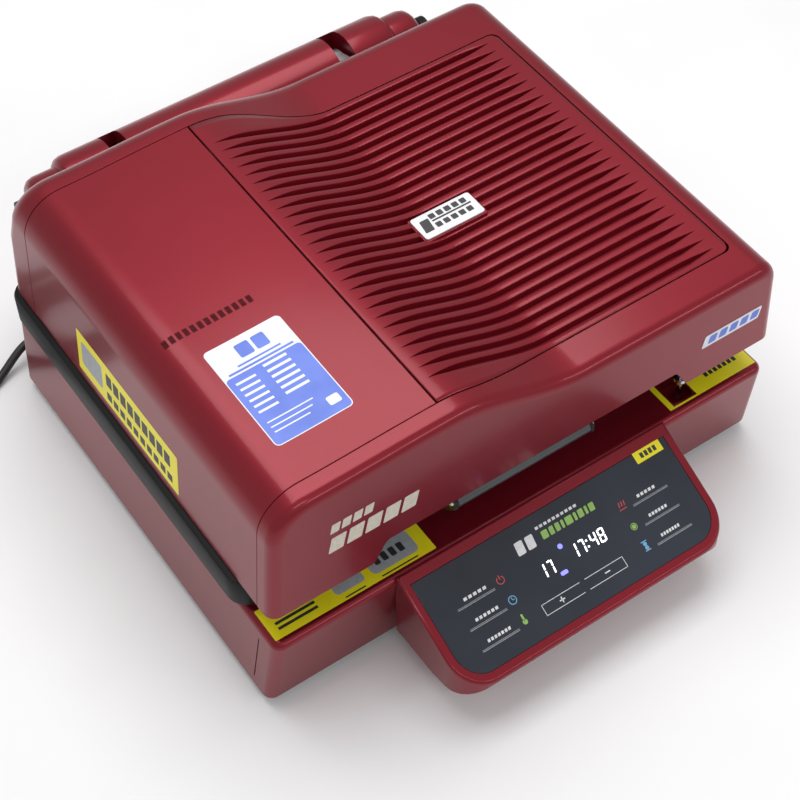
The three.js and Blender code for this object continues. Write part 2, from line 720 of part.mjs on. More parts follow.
function lidShell() {
  const outer = cut(skin(0, lidWall), coversRegion(0));
  const rim = cut(skin(lidWall - 1, lidWall + touch + flangeThickness).intersect(coversRegion(flangeWidth)),
    coversRegion(0));
  const lip = cut(skin(lidWall + touch, lidWall + touch + flangeThickness)
    .intersect(coversRegion(flangeWidth / 2)), coversRegion(-flangeWidth));
  const scoop = new THREE.Shape();
  const wide = scoopHalfWidth + scoopEase;
  const mid = scoopHalfWidth + scoopEase / 2;
  scoop.moveTo(-wide, lidEdgeZ - 20);
  scoop.lineTo(wide, lidEdgeZ - 20);
  scoop.lineTo(wide, lidEdgeZ);
  scoop.bezierCurveTo(mid, lidEdgeZ, mid, lidEdgeZ + scoopHeight, scoopHalfWidth, lidEdgeZ + scoopHeight);
  scoop.lineTo(-scoopHalfWidth, lidEdgeZ + scoopHeight);
  scoop.bezierCurveTo(-mid, lidEdgeZ + scoopHeight, -mid, lidEdgeZ, -wide, lidEdgeZ);
  const tools = [extruded('y', scoop, lidFrontY - 10, lidFrontY + 30)];
  for (const side of [-1, 1]) {
    tools.push(block(...ordered(side * (notchInner + 2), side * (notchOuter - 2)),
      lidRearY - 8, lidRearY + 8, lidEdgeZ - 10, hingeZ + 42));
  }
  return largest(cut(joined(outer, rim, lip), ...tools));
}

function leftCover() {
  const plan = upright(leftCoverPlan(-coverGap / 2));
  const outer = skin(0, lidWall).intersect(plan);
  const inside = block(-400, 400, coverFrontLeftY + flangeWidth + 1,
    coverRearLeftY - flangeWidth - 1, 100, 380);
  const rim = skin(lidWall - 1, lidWall + touch + flangeThickness).intersect(inside)
    .intersect(block(coverSplitX - flangeWidth, coverSplitX - coverGap, -400, 400, 100, 380));
  const lip = skin(lidWall + touch, lidWall + touch + flangeThickness).intersect(inside)
    .intersect(block(coverSplitX - 4, coverSplitX + flangeWidth, -400, 400, 100, 380));
  return largest(joined(outer, rim, lip));
}

function ribbedCover() {
  const plan = upright(ribbedCoverPlan(-coverGap));
  const cover = skin(0, lidWall).intersect(plan);
  const pad = block(badge.left - badgeMargin, badge.right + badgeMargin, badge.front - badgeMargin,
    badge.rear + badgeMargin, lidLowTop - ribDepth - 1, badgeZ - touch);
  const first = coverFrontRightY + ribMargin;
  const pitch = (coverRearRightY - ribMargin - first) / (ribCount - 1);
  const floor = lidForm(ribDepth);
  const grooves = [];
  for (let rib = 0; rib < ribCount; rib += 1) {
    const y = first + rib * pitch;
    grooves.push(block(ribLeftX, ribRightX, y - ribGroove / 2, y + ribGroove / 2, 250, 330));
  }
  const comb = grooves.reduce((all, one) => all.add(one)).subtract(floor);
  return largest(cover.subtract(comb).add(pad));
}

add('lid_shell', lidShell(), wineShell);
add('lid_left_cover', leftCover(), wineShell);
add('lid_ribbed_cover', ribbedCover(), wineShell);
add('lid_badge', extruded('z', roundedRectangle(badge.left, badge.right, badge.front, badge.rear, 3),
  badgeZ, badgeZ + badgeThickness, { steps: 3 }), white);

// ---------------------------------------------------------------- lid inside
function bottomFrame() {
  const low = lidEdgeZ + 1;
  const half = lidHalfWidth - lidWall - flangeThickness - 1.5;
  const front = lidFrontY + lidWall + 0.5;
  const rear = lidRearY - lidWall - 0.5;
  const plate = extruded('z', roundedRectangle(-half, half, front, rear, lidRearRound), low, low + 3,
    { steps: 3 });
  const gap = 0.5;
  const chamber = block(-chamberHalfWidth - gap, chamberHalfWidth + gap, chamberFrontY - gap,
    chamberRearY + gap, low - 5, low + 8);
  const hand = block(-scoopHalfWidth - scoopEase - 3, scoopHalfWidth + scoopEase + 3, front - 5,
    front + 24, low - 5, low + 8);
  return cut(plate, chamber, hand);
}

add('lid_bottom_frame', bottomFrame(), blackSteel);

const chamberMiddleY = (chamberFrontY + chamberRearY) / 2;
const heaterRows = [-1.5, -0.5, 0.5, 1.5].map((row) => chamberMiddleY + row * heaterPitch);

function heatingChamber() {
  const box = block(-chamberHalfWidth, chamberHalfWidth, chamberFrontY, chamberRearY, chamberFloorZ,
    chamberTopZ);
  const inside = block(-chamberHalfWidth + chamberWall, chamberHalfWidth - chamberWall,
    chamberFrontY + chamberWall, chamberRearY - chamberWall, chamberFloorZ - 5, chamberTopZ - chamberWall);
  const holes = heaterRows.map((y) => rod('x', heaterRadius + touch, -lidHalfWidth, lidHalfWidth, y,
    heaterZ, 16));
  const shaft = rod('z', shaftHole, chamberTopZ - 10, chamberTopZ + 10, fanX, fanY, 20);
  const probe = rod('x', probeRadius + touch, -lidHalfWidth, -chamberHalfWidth + 30, chamberMiddleY,
    probeZ, 12);
  return cut(box, inside, ...holes, shaft, probe);
}

function blanket() {
  const near = 1;
  const out = near + blanketThickness;
  const box = block(-chamberHalfWidth - out, chamberHalfWidth + out, chamberFrontY - out, chamberRearY + 10,
    lidEdgeZ + 5, chamberTopZ + out);
  const inside = block(-chamberHalfWidth - near, chamberHalfWidth + near, chamberFrontY - near,
    chamberRearY + near, lidEdgeZ, chamberTopZ + near);
  const holes = heaterRows.map((y) => rod('x', heaterRadius + 1, -heaterReach - 5, heaterReach + 5, y,
    heaterZ, 16));
  const motor = rod('z', fanMotorRadius + 3, chamberTopZ - 10, 400, fanX, fanY, 20);
  const probe = rod('x', probeRadius + touch, -lidHalfWidth, -chamberHalfWidth + 30, chamberMiddleY,
    probeZ, 12);
  return cut(box, inside, ...holes, motor, probe);
}

add('heating_chamber', heatingChamber(), steel);
add('lid_insulation', blanket(), wool);
heaterRows.forEach((y, row) => {
  add(`heater_tube_${row + 1}`, rod('x', heaterRadius, -heaterReach, heaterReach, y, heaterZ, 16), quartz);
});
add('temperature_probe', rod('x', probeRadius, -chamberHalfWidth - 16, -chamberHalfWidth + 56, chamberMiddleY,
  probeZ, 12), chrome);

function heaterGuard() {
  const inset = chamberWall + touch;
  const sheet = block(-chamberHalfWidth + inset, chamberHalfWidth - inset, chamberFrontY + inset,
    chamberRearY - inset, guardZ, guardZ + plateThickness);
  const slots = [];
  const columns = 11;
  const rows = 3;
  const pitchX = 2 * (chamberHalfWidth - inset - guardMargin) / columns;
  const pitchY = (chamberRearY - chamberFrontY - 2 * (inset + guardMargin)) / rows;
  for (let column = 0; column < columns; column += 1) {
    for (let row = 0; row < rows; row += 1) {
      const x = (column - (columns - 1) / 2) * pitchX;
      const y = chamberMiddleY + (row - (rows - 1) / 2) * pitchY;
      slots.push(block(x - pitchX / 2 + guardBar / 2, x + pitchX / 2 - guardBar / 2,
        y - pitchY / 2 + guardBar / 2, y + pitchY / 2 - guardBar / 2, guardZ - 5, guardZ + 5));
    }
  }
  return cut(sheet, ...slots);
}

add('heater_guard', heaterGuard(), steel);

// A fan wheel whose blades stand in a circle round its own axis along Z.
function fanWheel(radius, hub, depth, blades) {
  const wheel = [rod('z', hub, 0, depth, 0, 0, 20)];
  for (let blade = 0; blade < blades; blade += 1) {
    const leaf = new THREE.BoxGeometry(radius - hub + 2, depth * 0.9, 1.4);
    leaf.translate((radius + hub - 2) / 2, 0, 0);
    leaf.rotateX(Math.PI / 5);
    leaf.translate(0, 0, depth / 2);
    leaf.rotateZ(blade * 2 * Math.PI / blades);
    wheel.push(solid(leaf));
  }
  return joined(...wheel);
}

const lidWheel = fanWheel(fanRadius, 12, fanDepth, 5)
  .add(rod('z', shaftRadius, fanDepth - 1, chamberTopZ + 10 - fanZ, 0, 0, 16));
add('lid_fan_rotor', lidWheel, aluminium).position.set(fanX, fanY, fanZ);
const motorBody = rod('z', fanMotorRadius, chamberTopZ + touch, fanMotorTopZ, fanX, fanY, 24);
const motorBore = rod('z', shaftRadius + running, chamberTopZ - 1, chamberTopZ + 12, fanX, fanY, 16);
add('lid_fan_motor', motorBody.subtract(motorBore), blackPlastic);

const locator = add('lid_locating_pin', turned([
  [0, 0], [2, 0], [locatorRadius, 4], [locatorRadius, 30], [7, 30], [7, 34], [locatorRadius, 34],
  [locatorRadius, lidEdgeZ + 1 - touch - baseTopZ + pocketDepth - 2],
  [0, lidEdgeZ + 1 - touch - baseTopZ + pocketDepth - 2],
], 20), chrome);
locator.position.set(locatorX, locatorY, baseTopZ - pocketDepth + 2);

// ---------------------------------------------------------------- membrane frame
function membraneFrame() {
  const outer = extruded('z', roundedRectangle(-frameHalfWidth, frameHalfWidth, frameFrontY, frameRearY,
    frameCorner), frameBottomZ, frameTopZ, { steps: 6, round: 4, roundSteps: 2 });
  const inner = extruded('z', roundedRectangle(-frameHalfWidth + frameBar, frameHalfWidth - frameBar,
    frameFrontY + frameBar, frameRearY - frameBar, 6), frameBottomZ - 5, frameTopZ + 5, { steps: 4 });
  const channel = flatRing(-frameHalfWidth + frameWall, frameHalfWidth - frameWall,
    frameFrontY + frameWall, frameRearY - frameWall, frameBar - 2 * frameWall, frameCorner - frameWall,
    frameBottomZ - 5, frameTopZ - frameWall - 1);
  const ring = cut(outer, inner, channel);
  const arms = [-1, 1].map((side) => {
    const [near, far] = ordered(side * frameArmX, side * (frameArmX + frameArmThickness));
    const web = extruded('x', polygon([
      [frameRearY - 6, frameBottomZ + 4], [frameRearY + 4, frameBottomZ + 4],
      [hingeY + frameEyeRadius - 1, hingeZ - 4], [hingeY - 8, hingeZ + frameEyeRadius - 3],
      [frameRearY + 4, frameTopZ - 2], [frameRearY - 6, frameTopZ - 6],
    ]), near, far);
    return joined(web, rod('x', frameEyeRadius, near, far, hingeY, hingeZ));
  });
  const bore = rod('x', pinRadius + running, -280, 280, hingeY, hingeZ);
  return cut(joined(ring, ...arms), bore);
}

add('membrane_frame', membraneFrame(), blackSteel);

const innerHalf = frameHalfWidth - frameBar - touch;
const innerFront = frameFrontY + frameBar + touch;
const innerRear = frameRearY - frameBar - touch;
add('silicone_membrane', extruded('z', roundedRectangle(-innerHalf, innerHalf, innerFront, innerRear, 6),
  membraneZ, membraneZ + membraneThickness, { steps: 3 }), silicone);
const clampLow = membraneZ + membraneThickness + touch;
add('membrane_clamp', flatRing(-innerHalf, innerHalf, innerFront, innerRear, clampWidth, 6,
  clampLow, clampLow + clampThickness), steel);

const handleLeft = handleCentreX - handleLength / 2;
const handleRight = handleCentreX + handleLength / 2;
add('membrane_handle', rod('x', handleRadius, handleLeft, handleRight, handleY, handleZ, 20), aluminium);

for (const [word, side] of [['left', -1], ['right', 1]]) {
  const end = side < 0 ? handleLeft : handleRight;
  const [near, far] = ordered(end + side * touch, end + side * (touch + handlePlate));
  const face = frameFrontY - touch;
  const web = extruded('x', polygon([
    [face, frameTopZ - 26], [face, frameTopZ - 4], [handleY + 15, frameTopZ - 2], [handleY + 6, handleZ + 4],
    [handleY, handleZ + 6],
    [handleY - 6, handleZ + 3], [handleY - 6, handleZ - 5], [face - 12, frameTopZ - 26],
  ]), near, far);
  const foot = block(Math.min(near, end + side * 14), Math.max(far, end + side * 14), face - 3, face,
    frameTopZ - 28, frameTopZ - 3);
  add(`handle_bracket_${word}`, web.add(foot), blackSteel);
}

// ---------------------------------------------------------------- works in the base
const worksFloor = plateTop + touch;

const pump = { left: -200, right: -112, front: -150, rear: -95, top: 62, headRadius: 16, headTop: 84 };
const outlet = { x: -156, z: 50, radius: 4, reach: 11 };
const motorRadius = 28;
const motorLength = 90;
const valve = { left: -70, right: -38, front: -30, rear: 0, top: 48, coilRadius: 9, coilTop: 66 };

function vacuumPump() {
  const body = block(pump.left, pump.right, pump.front, pump.rear, worksFloor, pump.top);
  const middle = (pump.front + pump.rear) / 2;
  const heads = [pump.left + pump.headRadius + 2, pump.right - pump.headRadius - 2].map(
    (x) => rod('z', pump.headRadius, pump.top - 1, pump.headTop, x, middle, 20));
  const port = rod('y', outlet.radius, pump.rear - 1, pump.rear + outlet.reach, outlet.x, outlet.z, 12);
  return joined(body, ...heads, port);
}

function pumpMotor() {
  const start = pump.right + touch;
  const middle = (pump.front + pump.rear) / 2;
  const axis = worksFloor + motorRadius + 1;
  const barrel = rod('x', motorRadius, start, start + motorLength, middle, axis, 24);
  const cradle = block(start + 22, start + 67, middle - 20, middle + 20, worksFloor, axis - 15);
  return joined(barrel, cradle);
}

function vacuumValve() {
  const body = block(valve.left, valve.right, valve.front, valve.rear, worksFloor, valve.top);
  const coil = rod('z', valve.coilRadius, valve.top - 1, valve.coilTop,
    (valve.left + valve.right) / 2, (valve.front + valve.rear) / 2, 16);
  return joined(body, coil);
}

add('vacuum_pump', vacuumPump(), aluminium);
add('pump_motor', pumpMotor(), blackSteel);
add('vacuum_valve', vacuumValve(), steel);

function hose(points, radius, steps, sides) {
  const path = new THREE.CatmullRomCurve3(points.map((p) => new THREE.Vector3(...p)), false, 'centripetal');
  const section = new THREE.Shape();
  for (let side = 0; side < sides; side += 1) {
    const angle = side * 2 * Math.PI / sides;
    const [x, y] = [radius * Math.cos(angle), radius * Math.sin(angle)];
    if (side === 0) {
      section.moveTo(x, y);
    } else {
      section.lineTo(x, y);
    }
  }
  return solid(new THREE.ExtrudeGeometry(section, { extrudePath: path, steps, bevelEnabled: false }));
}

const portY = (bedFrontY + bedRearY) / 2;
const hoseStart = [outlet.x, pump.rear + outlet.reach + 2 * touch, outlet.z];
const hoseRoute = [
  hoseStart, [outlet.x, hoseStart[1] + 34, outlet.z], [-120, 0, baseTopZ - 60], [-50, 22, baseTopZ - 52],
  [-8, portY, baseTopZ - 42], [0, portY, baseTopZ - 30], [0, portY, baseTopZ - 18 - touch],
];
add('vacuum_hose', hose(hoseRoute, 5, 20, 10), rubber);

const transformer = { left: 86, right: 186, front: -150, rear: -92, yokeTop: 54, coilTop: 66 };
const coilInset = 14;
add('transformer', joined(
  block(transformer.left + coilInset, transformer.right - coilInset, transformer.front, transformer.rear,
    worksFloor, transformer.coilTop),
  block(transformer.left, transformer.right, transformer.front + coilInset - 2,
    transformer.rear - coilInset + 2, worksFloor, transformer.yokeTop)), blackSteel);

const card = { left: 40, right: 210, front: 60, rear: 190, low: 24, top: 26 };
const postWide = 7;

function powerBoard() {
  const seat = card.top - 1;
  const capacitors = [90, 125].map((y) => rod('z', 12, seat, 56, 180, y, 16));
  const inductor = block(60, 100, 80, 120, seat, 58);
  const relay = block(120, 150, 75, 95, seat, 50);
  const heatSink = block(60, 195, 165, 182, seat, 40);
  const posts = [[card.left + 5, card.front + 5], [card.right - 5 - postWide, card.rear - 5 - postWide]].map(
    ([x, y]) => block(x, x + postWide, y, y + postWide, worksFloor, seat));
  return joined(block(card.left, card.right, card.front, card.rear, card.low, card.top),
    ...capacitors, inductor, relay, heatSink, ...posts);
}

add('power_board', powerBoard(), board);

const relayBlock = { left: -210, right: -150, front: 100, rear: 160, sinkTop: 22, top: 46, inset: 4 };
add('solid_state_relay', joined(
  block(relayBlock.left, relayBlock.right, relayBlock.front, relayBlock.rear, worksFloor, relayBlock.sinkTop),
  block(relayBlock.left + relayBlock.inset, relayBlock.right - relayBlock.inset,
    relayBlock.front + 2 * relayBlock.inset, relayBlock.rear - 2 * relayBlock.inset,
    relayBlock.sinkTop - 1, relayBlock.top)), blackPlastic);

const microswitchTop = baseTopZ - pocketDepth - pocketWall - 2;
const microswitchHigh = 18;
add('lid_microswitch', joined(
  block(locatorX - 14, locatorX + 12, locatorY - 4, locatorY + 8, microswitchTop - microswitchHigh,
    microswitchTop),
  block(locatorX - 12, locatorX + 8, locatorY, locatorY + 4, microswitchTop - 42,
    microswitchTop - microswitchHigh + 1)), blackPlastic);

// ---------------------------------------------------------------- rear panel pieces
function rearFanFrame() {
  const half = rearFanSize / 2;
  const high = hingeY + barrelRadius - housingWall - 1;
  const body = extruded('y', roundedRectangle(rearFanX - half, rearFanX + half, rearFanZ - half,
    rearFanZ + half, 5), high - rearFanDepth, high, { steps: 3 });
  const duct = rod('y', rearFanRadius + 2, high - rearFanDepth - 1, high + 1, rearFanX, rearFanZ, 28);
  const spokes = [
    block(rearFanX - half + 2, rearFanX + half - 2, high - rearFanDepth, high - rearFanDepth + 2,
      rearFanZ - 2, rearFanZ + 2),
    rod('y', 13, high - rearFanDepth, high - rearFanDepth + 2, rearFanX, rearFanZ, 20),
  ];
  return joined(cut(body, duct), ...spokes);
}

add('rear_fan_frame', rearFanFrame(), blackPlastic);
const rearWheel = add('rear_fan_rotor', fanWheel(rearFanRadius, 12, 17, 7), blackPlastic);
rearWheel.rotation.x = Math.PI / 2;
rearWheel.position.set(rearFanX, hingeY + barrelRadius - housingWall - 3, rearFanZ);

function switchFrame() {
  const { x: halfX, z: halfZ } = switchBodyHalf;
  const bezel = block(switchX - halfX - switchBezel, switchX + halfX + switchBezel, baseRearY + touch,
    baseRearY + 2.3, switchZ - halfZ - switchBezel, switchZ + halfZ + switchBezel);
  const body = block(switchX - halfX, switchX + halfX, baseRearY - 22, baseRearY + 1,
    switchZ - halfZ, switchZ + halfZ);
  const half = rockerWidth / 2 + touch;
  const wellHalf = rockerHeight / 2 + 1.4;
  const well = block(switchX - half, switchX + half, baseRearY - 10, baseRearY + 5,
    switchZ - wellHalf, switchZ + wellHalf);
  return bezel.add(body).subtract(well);
}

add('switch_frame', switchFrame(), blackPlastic);
const rockerHalf = rockerHeight / 2;
const rocker = add('main_switch_rocker', extruded('x', polygon([
  [-4, -rockerHalf], [3.5, -rockerHalf], [1.6, 0], [3.5, rockerHalf], [-4, rockerHalf],
]), -rockerWidth / 2, rockerWidth / 2), finish(0xb01818, 0.4, 0));
rocker.rotation.x = -rockerTilt * Math.PI / 180;
rocker.position.set(switchX, baseRearY, switchZ);

// ---------------------------------------------------------------- mains lead
const gland = add('cord_strain_relief', turned([
  [cordRadius + touch, 0], [7.6, 0], [9.5, glandLength - 4], [9.5, glandLength - 0.3], [7, glandLength - 0.3],
  [7, glandLength + 5], [cordRadius + touch, glandLength + 5], [cordRadius + touch, 0],
], 20), rubber);
gland.rotation.y = Math.PI / 2;
gland.position.set(-housingHalfWidth - glandLength, glandY, glandZ);

add('power_cord', hose(cordRoute, cordRadius, 10, 10), rubber);

const coil = add('power_cord_coil', turned([
  [coilInner, coilFloor], [coilOuter, coilFloor], [coilOuter, coilFloor + coilHeight],
  [coilInner, coilFloor + coilHeight], [coilInner, coilFloor],
], 36), rubber);
coil.position.set(coilX, coilY, 0);

function plug() {
  const body = solid(turned([
    [0, 0], [6, 0], [8.5, plugSleeve], [plugRadius - 3, plugSleeve + 3], [plugRadius, plugSleeve + 9],
    [plugRadius, plugSleeve + plugLength], [0, plugSleeve + plugLength],
  ], 24));
  const start = plugSleeve + plugLength - 2;
  const pins = [-1, 1].map((side) => rod('z', plugPinRadius, start, start + 2 + plugPinLength,
    side * plugPinPitch / 2, 0, 10));
  return joined(body, ...pins);
}

const lead = add('power_plug', plug(), blackPlastic);
lead.rotation.y = Math.PI / 2;
lead.position.set(coilX, coilY + coilOuter + 6 + touch, plugRadius + touch);

export default group;
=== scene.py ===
import math

import bmesh
import bpy
from mathutils import Matrix, Quaternion, Vector


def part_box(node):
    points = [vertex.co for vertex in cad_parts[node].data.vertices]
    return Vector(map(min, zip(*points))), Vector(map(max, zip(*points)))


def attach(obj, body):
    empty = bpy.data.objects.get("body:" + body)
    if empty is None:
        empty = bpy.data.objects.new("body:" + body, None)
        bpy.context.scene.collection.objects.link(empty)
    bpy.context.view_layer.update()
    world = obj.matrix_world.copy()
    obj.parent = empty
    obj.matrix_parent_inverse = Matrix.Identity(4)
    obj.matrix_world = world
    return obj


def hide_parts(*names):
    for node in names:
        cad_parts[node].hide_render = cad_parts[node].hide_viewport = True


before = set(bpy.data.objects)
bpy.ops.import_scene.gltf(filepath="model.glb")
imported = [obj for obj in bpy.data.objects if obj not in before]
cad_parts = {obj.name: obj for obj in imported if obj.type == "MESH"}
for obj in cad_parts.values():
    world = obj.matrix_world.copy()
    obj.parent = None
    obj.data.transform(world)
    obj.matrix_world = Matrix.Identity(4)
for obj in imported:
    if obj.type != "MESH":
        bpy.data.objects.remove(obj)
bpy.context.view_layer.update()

MM = 0.001

# ---------------------------------------------------------------- view, floor and light
# The press stands on a pale table top under large soft lights, seen from above its front left corner.
azimuth, elevation, roll = math.radians(-33.87), math.radians(51.35), math.radians(-0.92)
towards_eye = Vector((
    math.sin(azimuth) * math.cos(elevation), -math.cos(azimuth) * math.cos(elevation), math.sin(elevation)))
camera_data = bpy.data.cameras.new("camera")
camera_data.sensor_width = 36
camera_data.lens = 84.27
camera = bpy.data.objects.new("camera", camera_data)
camera.location = (-0.67775, -1.01498, 1.55971)
camera.rotation_mode = "QUATERNION"
camera.rotation_quaternion = towards_eye.to_track_quat("Z", "Y") @ Quaternion((0, 0, 1), roll)
bpy.context.collection.objects.link(camera)
bpy.context.scene.camera = camera


def softbox(name, place, size, power, target=(0, 0, 0.15)):
    light = bpy.data.lights.new(name, "AREA")
    light.shape = "RECTANGLE"
    light.size, light.size_y = size
    light.energy = power
    lamp = bpy.data.objects.new(name, light)
    lamp.location = place
    lamp.rotation_mode = "QUATERNION"
    lamp.rotation_quaternion = (Vector(place) - Vector(target)).to_track_quat("Z", "Y")
    bpy.context.collection.objects.link(lamp)


softbox("overhead", (0.1, 0.6, 2.6), (2.4, 2.0), 52)
softbox("front_strip", (0.9, -2.1, 1.55), (1.9, 0.13), 8)
softbox("rim_strip", (-0.5, -1.9, 2.3), (1.4, 0.12), 7)
world = bpy.data.worlds.new("room")
world.use_nodes = True
world.node_tree.nodes["Background"].inputs["Color"].default_value = (1.0, 1.0, 1.0, 1)
world.node_tree.nodes["Background"].inputs["Strength"].default_value = 0.50
bpy.context.scene.world = world
bpy.context.scene.view_settings.view_transform = "Standard"


def surface(name, dark, light, patch, grain, roughness, relief, stretch=(1, 1, 1), **sockets):
    """A finish whose colour drifts over patches, and whose gloss and relief have a grain, sizes in metres."""
    material = bpy.data.materials.new(name)
    material.use_nodes = True
    nodes, links = material.node_tree.nodes, material.node_tree.links
    shader = nodes["Principled BSDF"]
    where = nodes.new("ShaderNodeTexCoord")
    mapping = nodes.new("ShaderNodeMapping")
    mapping.inputs["Scale"].default_value = stretch
    links.new(where.outputs["Object"], mapping.inputs["Vector"])

    def noise(size, detail):
        node = nodes.new("ShaderNodeTexNoise")
        node.inputs["Scale"].default_value = 1 / size
        node.inputs["Detail"].default_value = detail
        links.new(mapping.outputs["Vector"], node.inputs["Vector"])
        return node.outputs["Fac"]

    tones = nodes.new("ShaderNodeValToRGB")
    tones.color_ramp.elements[0].position, tones.color_ramp.elements[1].position = 0.35, 0.65
    tones.color_ramp.elements[0].color = (*dark, 1)
    tones.color_ramp.elements[1].color = (*light, 1)
    links.new(noise(patch, 4), tones.inputs["Fac"])
    links.new(tones.outputs["Color"], shader.inputs["Base Color"])
    fine = noise(grain, 3)
    gloss = nodes.new("ShaderNodeMapRange")
    gloss.inputs["To Min"].default_value, gloss.inputs["To Max"].default_value = roughness
    links.new(fine, gloss.inputs["Value"])
    links.new(gloss.outputs["Result"], shader.inputs["Roughness"])
    if relief:
        bump = nodes.new("ShaderNodeBump")
        bump.inputs["Strength"].default_value = 0.6
        bump.inputs["Distance"].default_value = relief
        links.new(fine, bump.inputs["Height"])
        links.new(bump.outputs["Normal"], shader.inputs["Normal"])
    for socket, value in sockets.items():
        shader.inputs[socket.replace("_", " ")].default_value = value
    return material


floor_bm = bmesh.new()
bmesh.ops.create_grid(floor_bm, x_segments=4, y_segments=4, size=6)
floor_mesh = bpy.data.meshes.new("table_top")
floor_bm.to_mesh(floor_mesh)
floor_bm.free()
floor_mesh.materials.append(surface(
    "pale_table", (0.86, 0.86, 0.87), (0.90, 0.90, 0.91), 0.4, 0.01, (0.55, 0.65), 0))
table_top = bpy.data.objects.new("table_top", floor_mesh)
bpy.context.collection.objects.link(table_top)

# ---------------------------------------------------------------- mains lead
# A round rubber-sheathed lead of 9 mm leaves the rear housing's left end through a moulded strain
# relief, sinks to the table and is wound into two layers of coil behind the press, ending in its plug.
cord_radius = 4.5 * MM
cord_route = [
    (-265.4, 303, 24), (-272, 302.7, 23.7), (-279, 301.8, 22.6), (-286, 300.4, 20.6), (-293, 298.5, 17.8),
    (-300, 296.2, 14.6), (-307, 293.6, 11.4), (-314, 290.7, 8.7), (-321, 287.6, 6.6), (-328, 284.4, 5.3),
    (-336, 280.7, 4.8), (-346, 276.2, 4.8), (-358, 271.1, 4.8), (-371, 266.5, 4.8), (-385, 262.9, 4.8),
    (-400, 261.5, 4.8),
]
coil_centre = Vector((-400, 330))
low_layer, top_layer, plug_height = 4.8, 13.7, 18.3


def eased(t):
    t = min(max(t, 0.0), 1.0)
    return t * t * (3 - 2 * t)


def stepped(turned, start, steps):
    """A value that eases from one to the next over each (from, to, change) span of turning, in degrees."""
    return start + sum(change * eased((turned - low) / (high - low)) for low, high, change in steps)


def coil_points():
    points = []
    for turned in range(15, 1981, 15):
        radius = stepped(turned, 68.5, [
            (0, 60, -9.5), (360, 420, -9.1), (720, 780, -9.1), (1085, 1140, 4.6), (1440, 1500, 9.2),
            (1800, 1980, 14.7)])
        height = stepped(turned, low_layer, [
            (990, 1085, top_layer - low_layer), (1840, 1980, plug_height - top_layer)])
        angle = math.radians(270 - turned)
        points.append((
            coil_centre.x + radius * math.cos(angle), coil_centre.y + radius * math.sin(angle), height))
    return points


cord_points = [Vector(p) * MM for p in cord_route + coil_points()]
cord_curve = bpy.data.curves.new("power_lead", "CURVE")
cord_curve.dimensions = "3D"
cord_curve.bevel_depth = cord_radius
cord_curve.bevel_resolution = 4
cord_curve.resolution_u = 3
cord_curve.use_fill_caps = True
line = cord_curve.splines.new("BEZIER")
line.bezier_points.add(len(cord_points) - 1)
for knot, point in zip(line.bezier_points, cord_points):
    knot.co = point
    knot.handle_left_type = knot.handle_right_type = "AUTO"
rubber = surface(
    "lead_rubber", (0.010, 0.010, 0.011), (0.020, 0.020, 0.021), 0.03, 0.0006, (0.42, 0.60), 0.00004)
cord_curve.materials.append(rubber)
power_lead = bpy.data.objects.new("power_lead", cord_curve)
bpy.context.collection.objects.link(power_lead)
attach(power_lead, "base")
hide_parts("power_cord", "power_cord_coil")


def finished(node, material, angle=30):
    """Gives a carried-over piece its material, with round faces shaded smooth up to an angle."""
    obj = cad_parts[node]
    obj.data.materials.clear()
    obj.data.materials.append(material)
    for face in obj.data.polygons:
        face.use_smooth = True
    weld = obj.modifiers.new("weld", "WELD")
    weld.merge_threshold = 0.00001
    split = obj.modifiers.new("edges", "EDGE_SPLIT")
    split.split_angle = math.radians(angle)
    return obj


black_plastic = surface(
    "moulded_black", (0.012, 0.012, 0.013), (0.022, 0.022, 0.024), 0.02, 0.0009, (0.38, 0.52), 0.00006)
finished("power_plug", black_plastic)
finished("cord_strain_relief", rubber)

# ---------------------------------------------------------------- feet and floor plates
# Four turned rubber feet are screwed under a plain zinc-plated floor plate that closes the casing.
foot_rubber = surface(
    "foot_rubber", (0.014, 0.014, 0.014), (0.028, 0.028, 0.027), 0.01, 0.0012, (0.7, 0.9), 0.0001)
sheet_steel = surface(
    "plated_sheet_steel", (0.46, 0.47, 0.48), (0.60, 0.61, 0.63), 0.03, 0.0012, (0.28, 0.42), 0.00003,
    stretch=(0.05, 1, 1), Metallic=0.95)
for corner in ("front_left", "front_right", "rear_left", "rear_right"):
    finished(f"foot_{corner}", foot_rubber)
finished("base_plate", sheet_steel)
finished("rear_floor_plate", sheet_steel)


# ---------------------------------------------------------------- base casing
# The lower casing is one moulding sprayed wine red with a clear coat. Its sides flare out towards the
# table, its front leans back, and its deck has an opening for the bed and a pocket for the lid's pin.
def wine_paint(name, dark, light):
    material = surface(
        name, dark, light, 0.35, 0.0005, (0.34, 0.44), 0.00001, Metallic=0.55, Coat_Weight=0.45,
        Coat_Roughness=0.15, Specular_IOR_Level=0.15)
    nodes, links = material.node_tree.nodes, material.node_tree.links
    where = next(n for n in nodes if n.type == "TEX_COORD")
    peel = nodes.new("ShaderNodeTexNoise")
    peel.inputs["Scale"].default_value = 320
    peel.inputs["Detail"].default_value = 1
    ripple = nodes.new("ShaderNodeBump")
    ripple.inputs["Strength"].default_value = 0.25
    ripple.inputs["Distance"].default_value = 0.00004
    links.new(where.outputs["Object"], peel.inputs["Vector"])
    links.new(peel.outputs["Fac"], ripple.inputs["Height"])
    links.new(ripple.outputs["Normal"], nodes["Principled BSDF"].inputs["Coat Normal"])
    return material


wine = wine_paint("wine_lacquer", (0.205, 0.0075, 0.0165), (0.235, 0.0095, 0.0205))
base_bottom, base_top = 10 * MM, 118 * MM
base_half, base_flare = 288 * MM, 8 * MM
base_front, base_lean, base_rear = -231 * MM, 15 * MM, 273 * MM
base_wall = 4 * MM
base_corner, base_top_round, base_foot_round = 11 * MM, 8 * MM, 6 * MM


